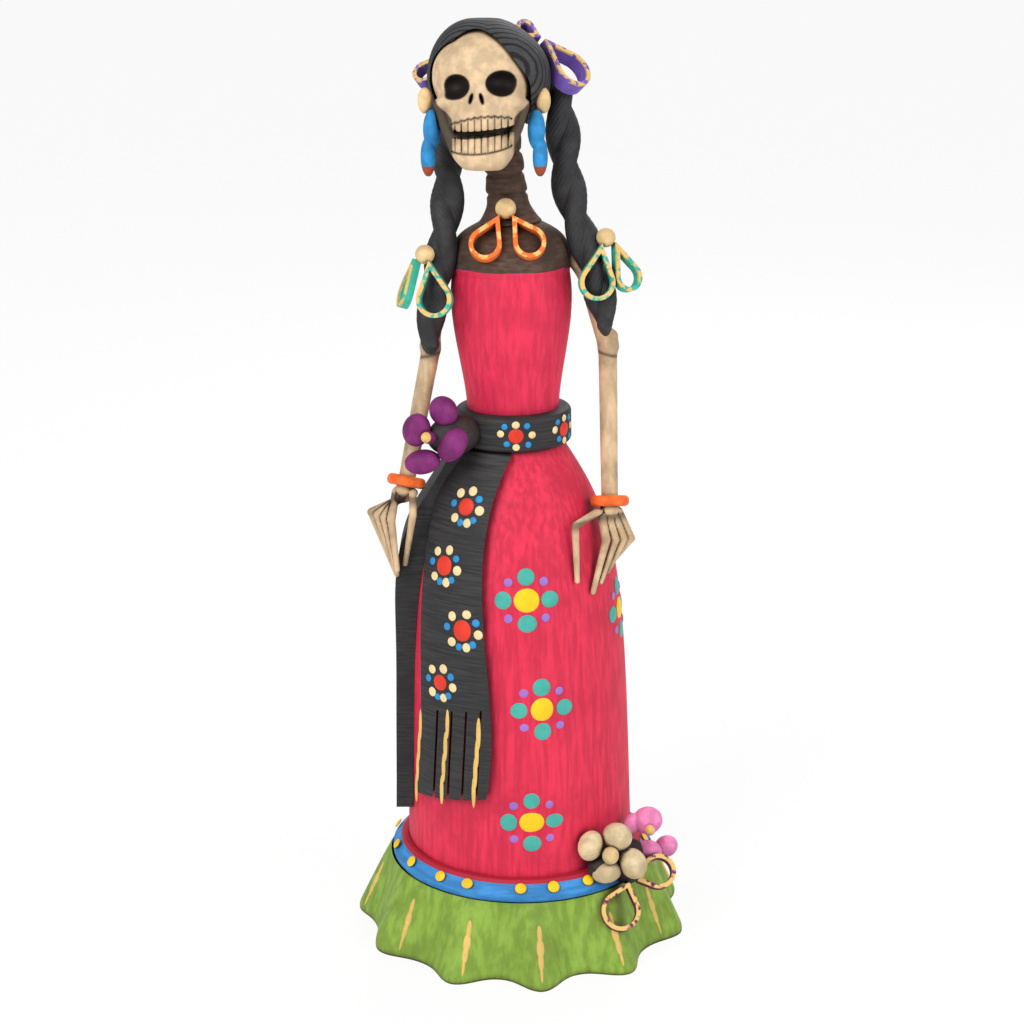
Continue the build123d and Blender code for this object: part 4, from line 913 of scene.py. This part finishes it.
# The studio is a plain white floor under soft light from a large key lamp, a fill, a rim lamp and the room.
# The camera stands before the figure, a little above it, and looks down at its waist.
scene = bpy.context.scene
scene.view_settings.view_transform = "Standard"
floor_mesh = bpy.data.meshes.new("studio_floor")
floor_mesh.from_pydata([(-30, -30, 0), (30, -30, 0), (30, 30, 0), (-30, 30, 0)], [], [(0, 1, 2, 3)])
floor = bpy.data.objects.new("studio_floor", floor_mesh)
scene.collection.objects.link(floor)
white = bpy.data.materials.new("white_sweep")
white.use_nodes = True
tree = white.node_tree
tree.nodes.clear()
matte = node(tree, "ShaderNodeBsdfDiffuse", i_Color=(0.86, 0.86, 0.86, 1.0))
pale = node(tree, "ShaderNodeBsdfDiffuse", i_Color=(0.12, 0.12, 0.12, 1.0))
glow = node(tree, "ShaderNodeEmission", i_Color=(1, 1, 1, 1), i_Strength=0.88)
both = node(tree, "ShaderNodeAddShader", i_0=pale.outputs[0], i_1=glow.outputs[0])
seen = node(tree, "ShaderNodeLightPath").outputs["Is Camera Ray"]
choice = node(tree, "ShaderNodeMixShader", i_0=seen, i_1=matte.outputs[0], i_2=both.outputs[0])
tree.links.new(choice.outputs[0], node(tree, "ShaderNodeOutputMaterial").inputs[0])
floor_mesh.materials.append(white)
world = bpy.data.worlds.new("studio_room")
world.use_nodes = True
scene.world = world
tree = world.node_tree
tree.nodes.clear()
room = node(tree, "ShaderNodeBackground", i_Color=(1, 1, 1, 1), i_Strength=0.55)
backdrop = node(tree, "ShaderNodeBackground", i_Color=(1, 1, 1, 1), i_Strength=1.0)
seen = node(tree, "ShaderNodeLightPath").outputs["Is Camera Ray"]
choice = node(tree, "ShaderNodeMixShader", i_0=seen, i_1=room.outputs[0], i_2=backdrop.outputs[0])
tree.links.new(choice.outputs[0], node(tree, "ShaderNodeOutputWorld").inputs[0])
for label, spot, size, power in (("key_light", (-0.9, -1.3, 1.3), 0.9, 20.0),
                                 ("fill_light", (1.2, -0.9, 0.8), 1.2, 9.0),
                                 ("rim_light", (0.4, 1.2, 1.2), 0.8, 8.0)):
    lamp = bpy.data.lights.new(label, "AREA")
    lamp.size = size
    lamp.energy = power
    holder = bpy.data.objects.new(label, lamp)
    holder.location = spot
    holder.rotation_euler = (Vector((0, 0, 0.22)) - Vector(spot)).to_track_quat("-Z", "Y").to_euler()
    scene.collection.objects.link(holder)
lens = bpy.data.cameras.new("studio_camera")
lens.sensor_width = 36.0
lens.lens = 36.0 * 2140 / 1024
camera = bpy.data.objects.new("studio_camera", lens)
camera.location = (-0.00435, -0.890, 0.454)
camera.rotation_euler = (math.radians(90 - 16.5), 0, 0)
scene.collection.objects.link(camera)
scene.camera = camera
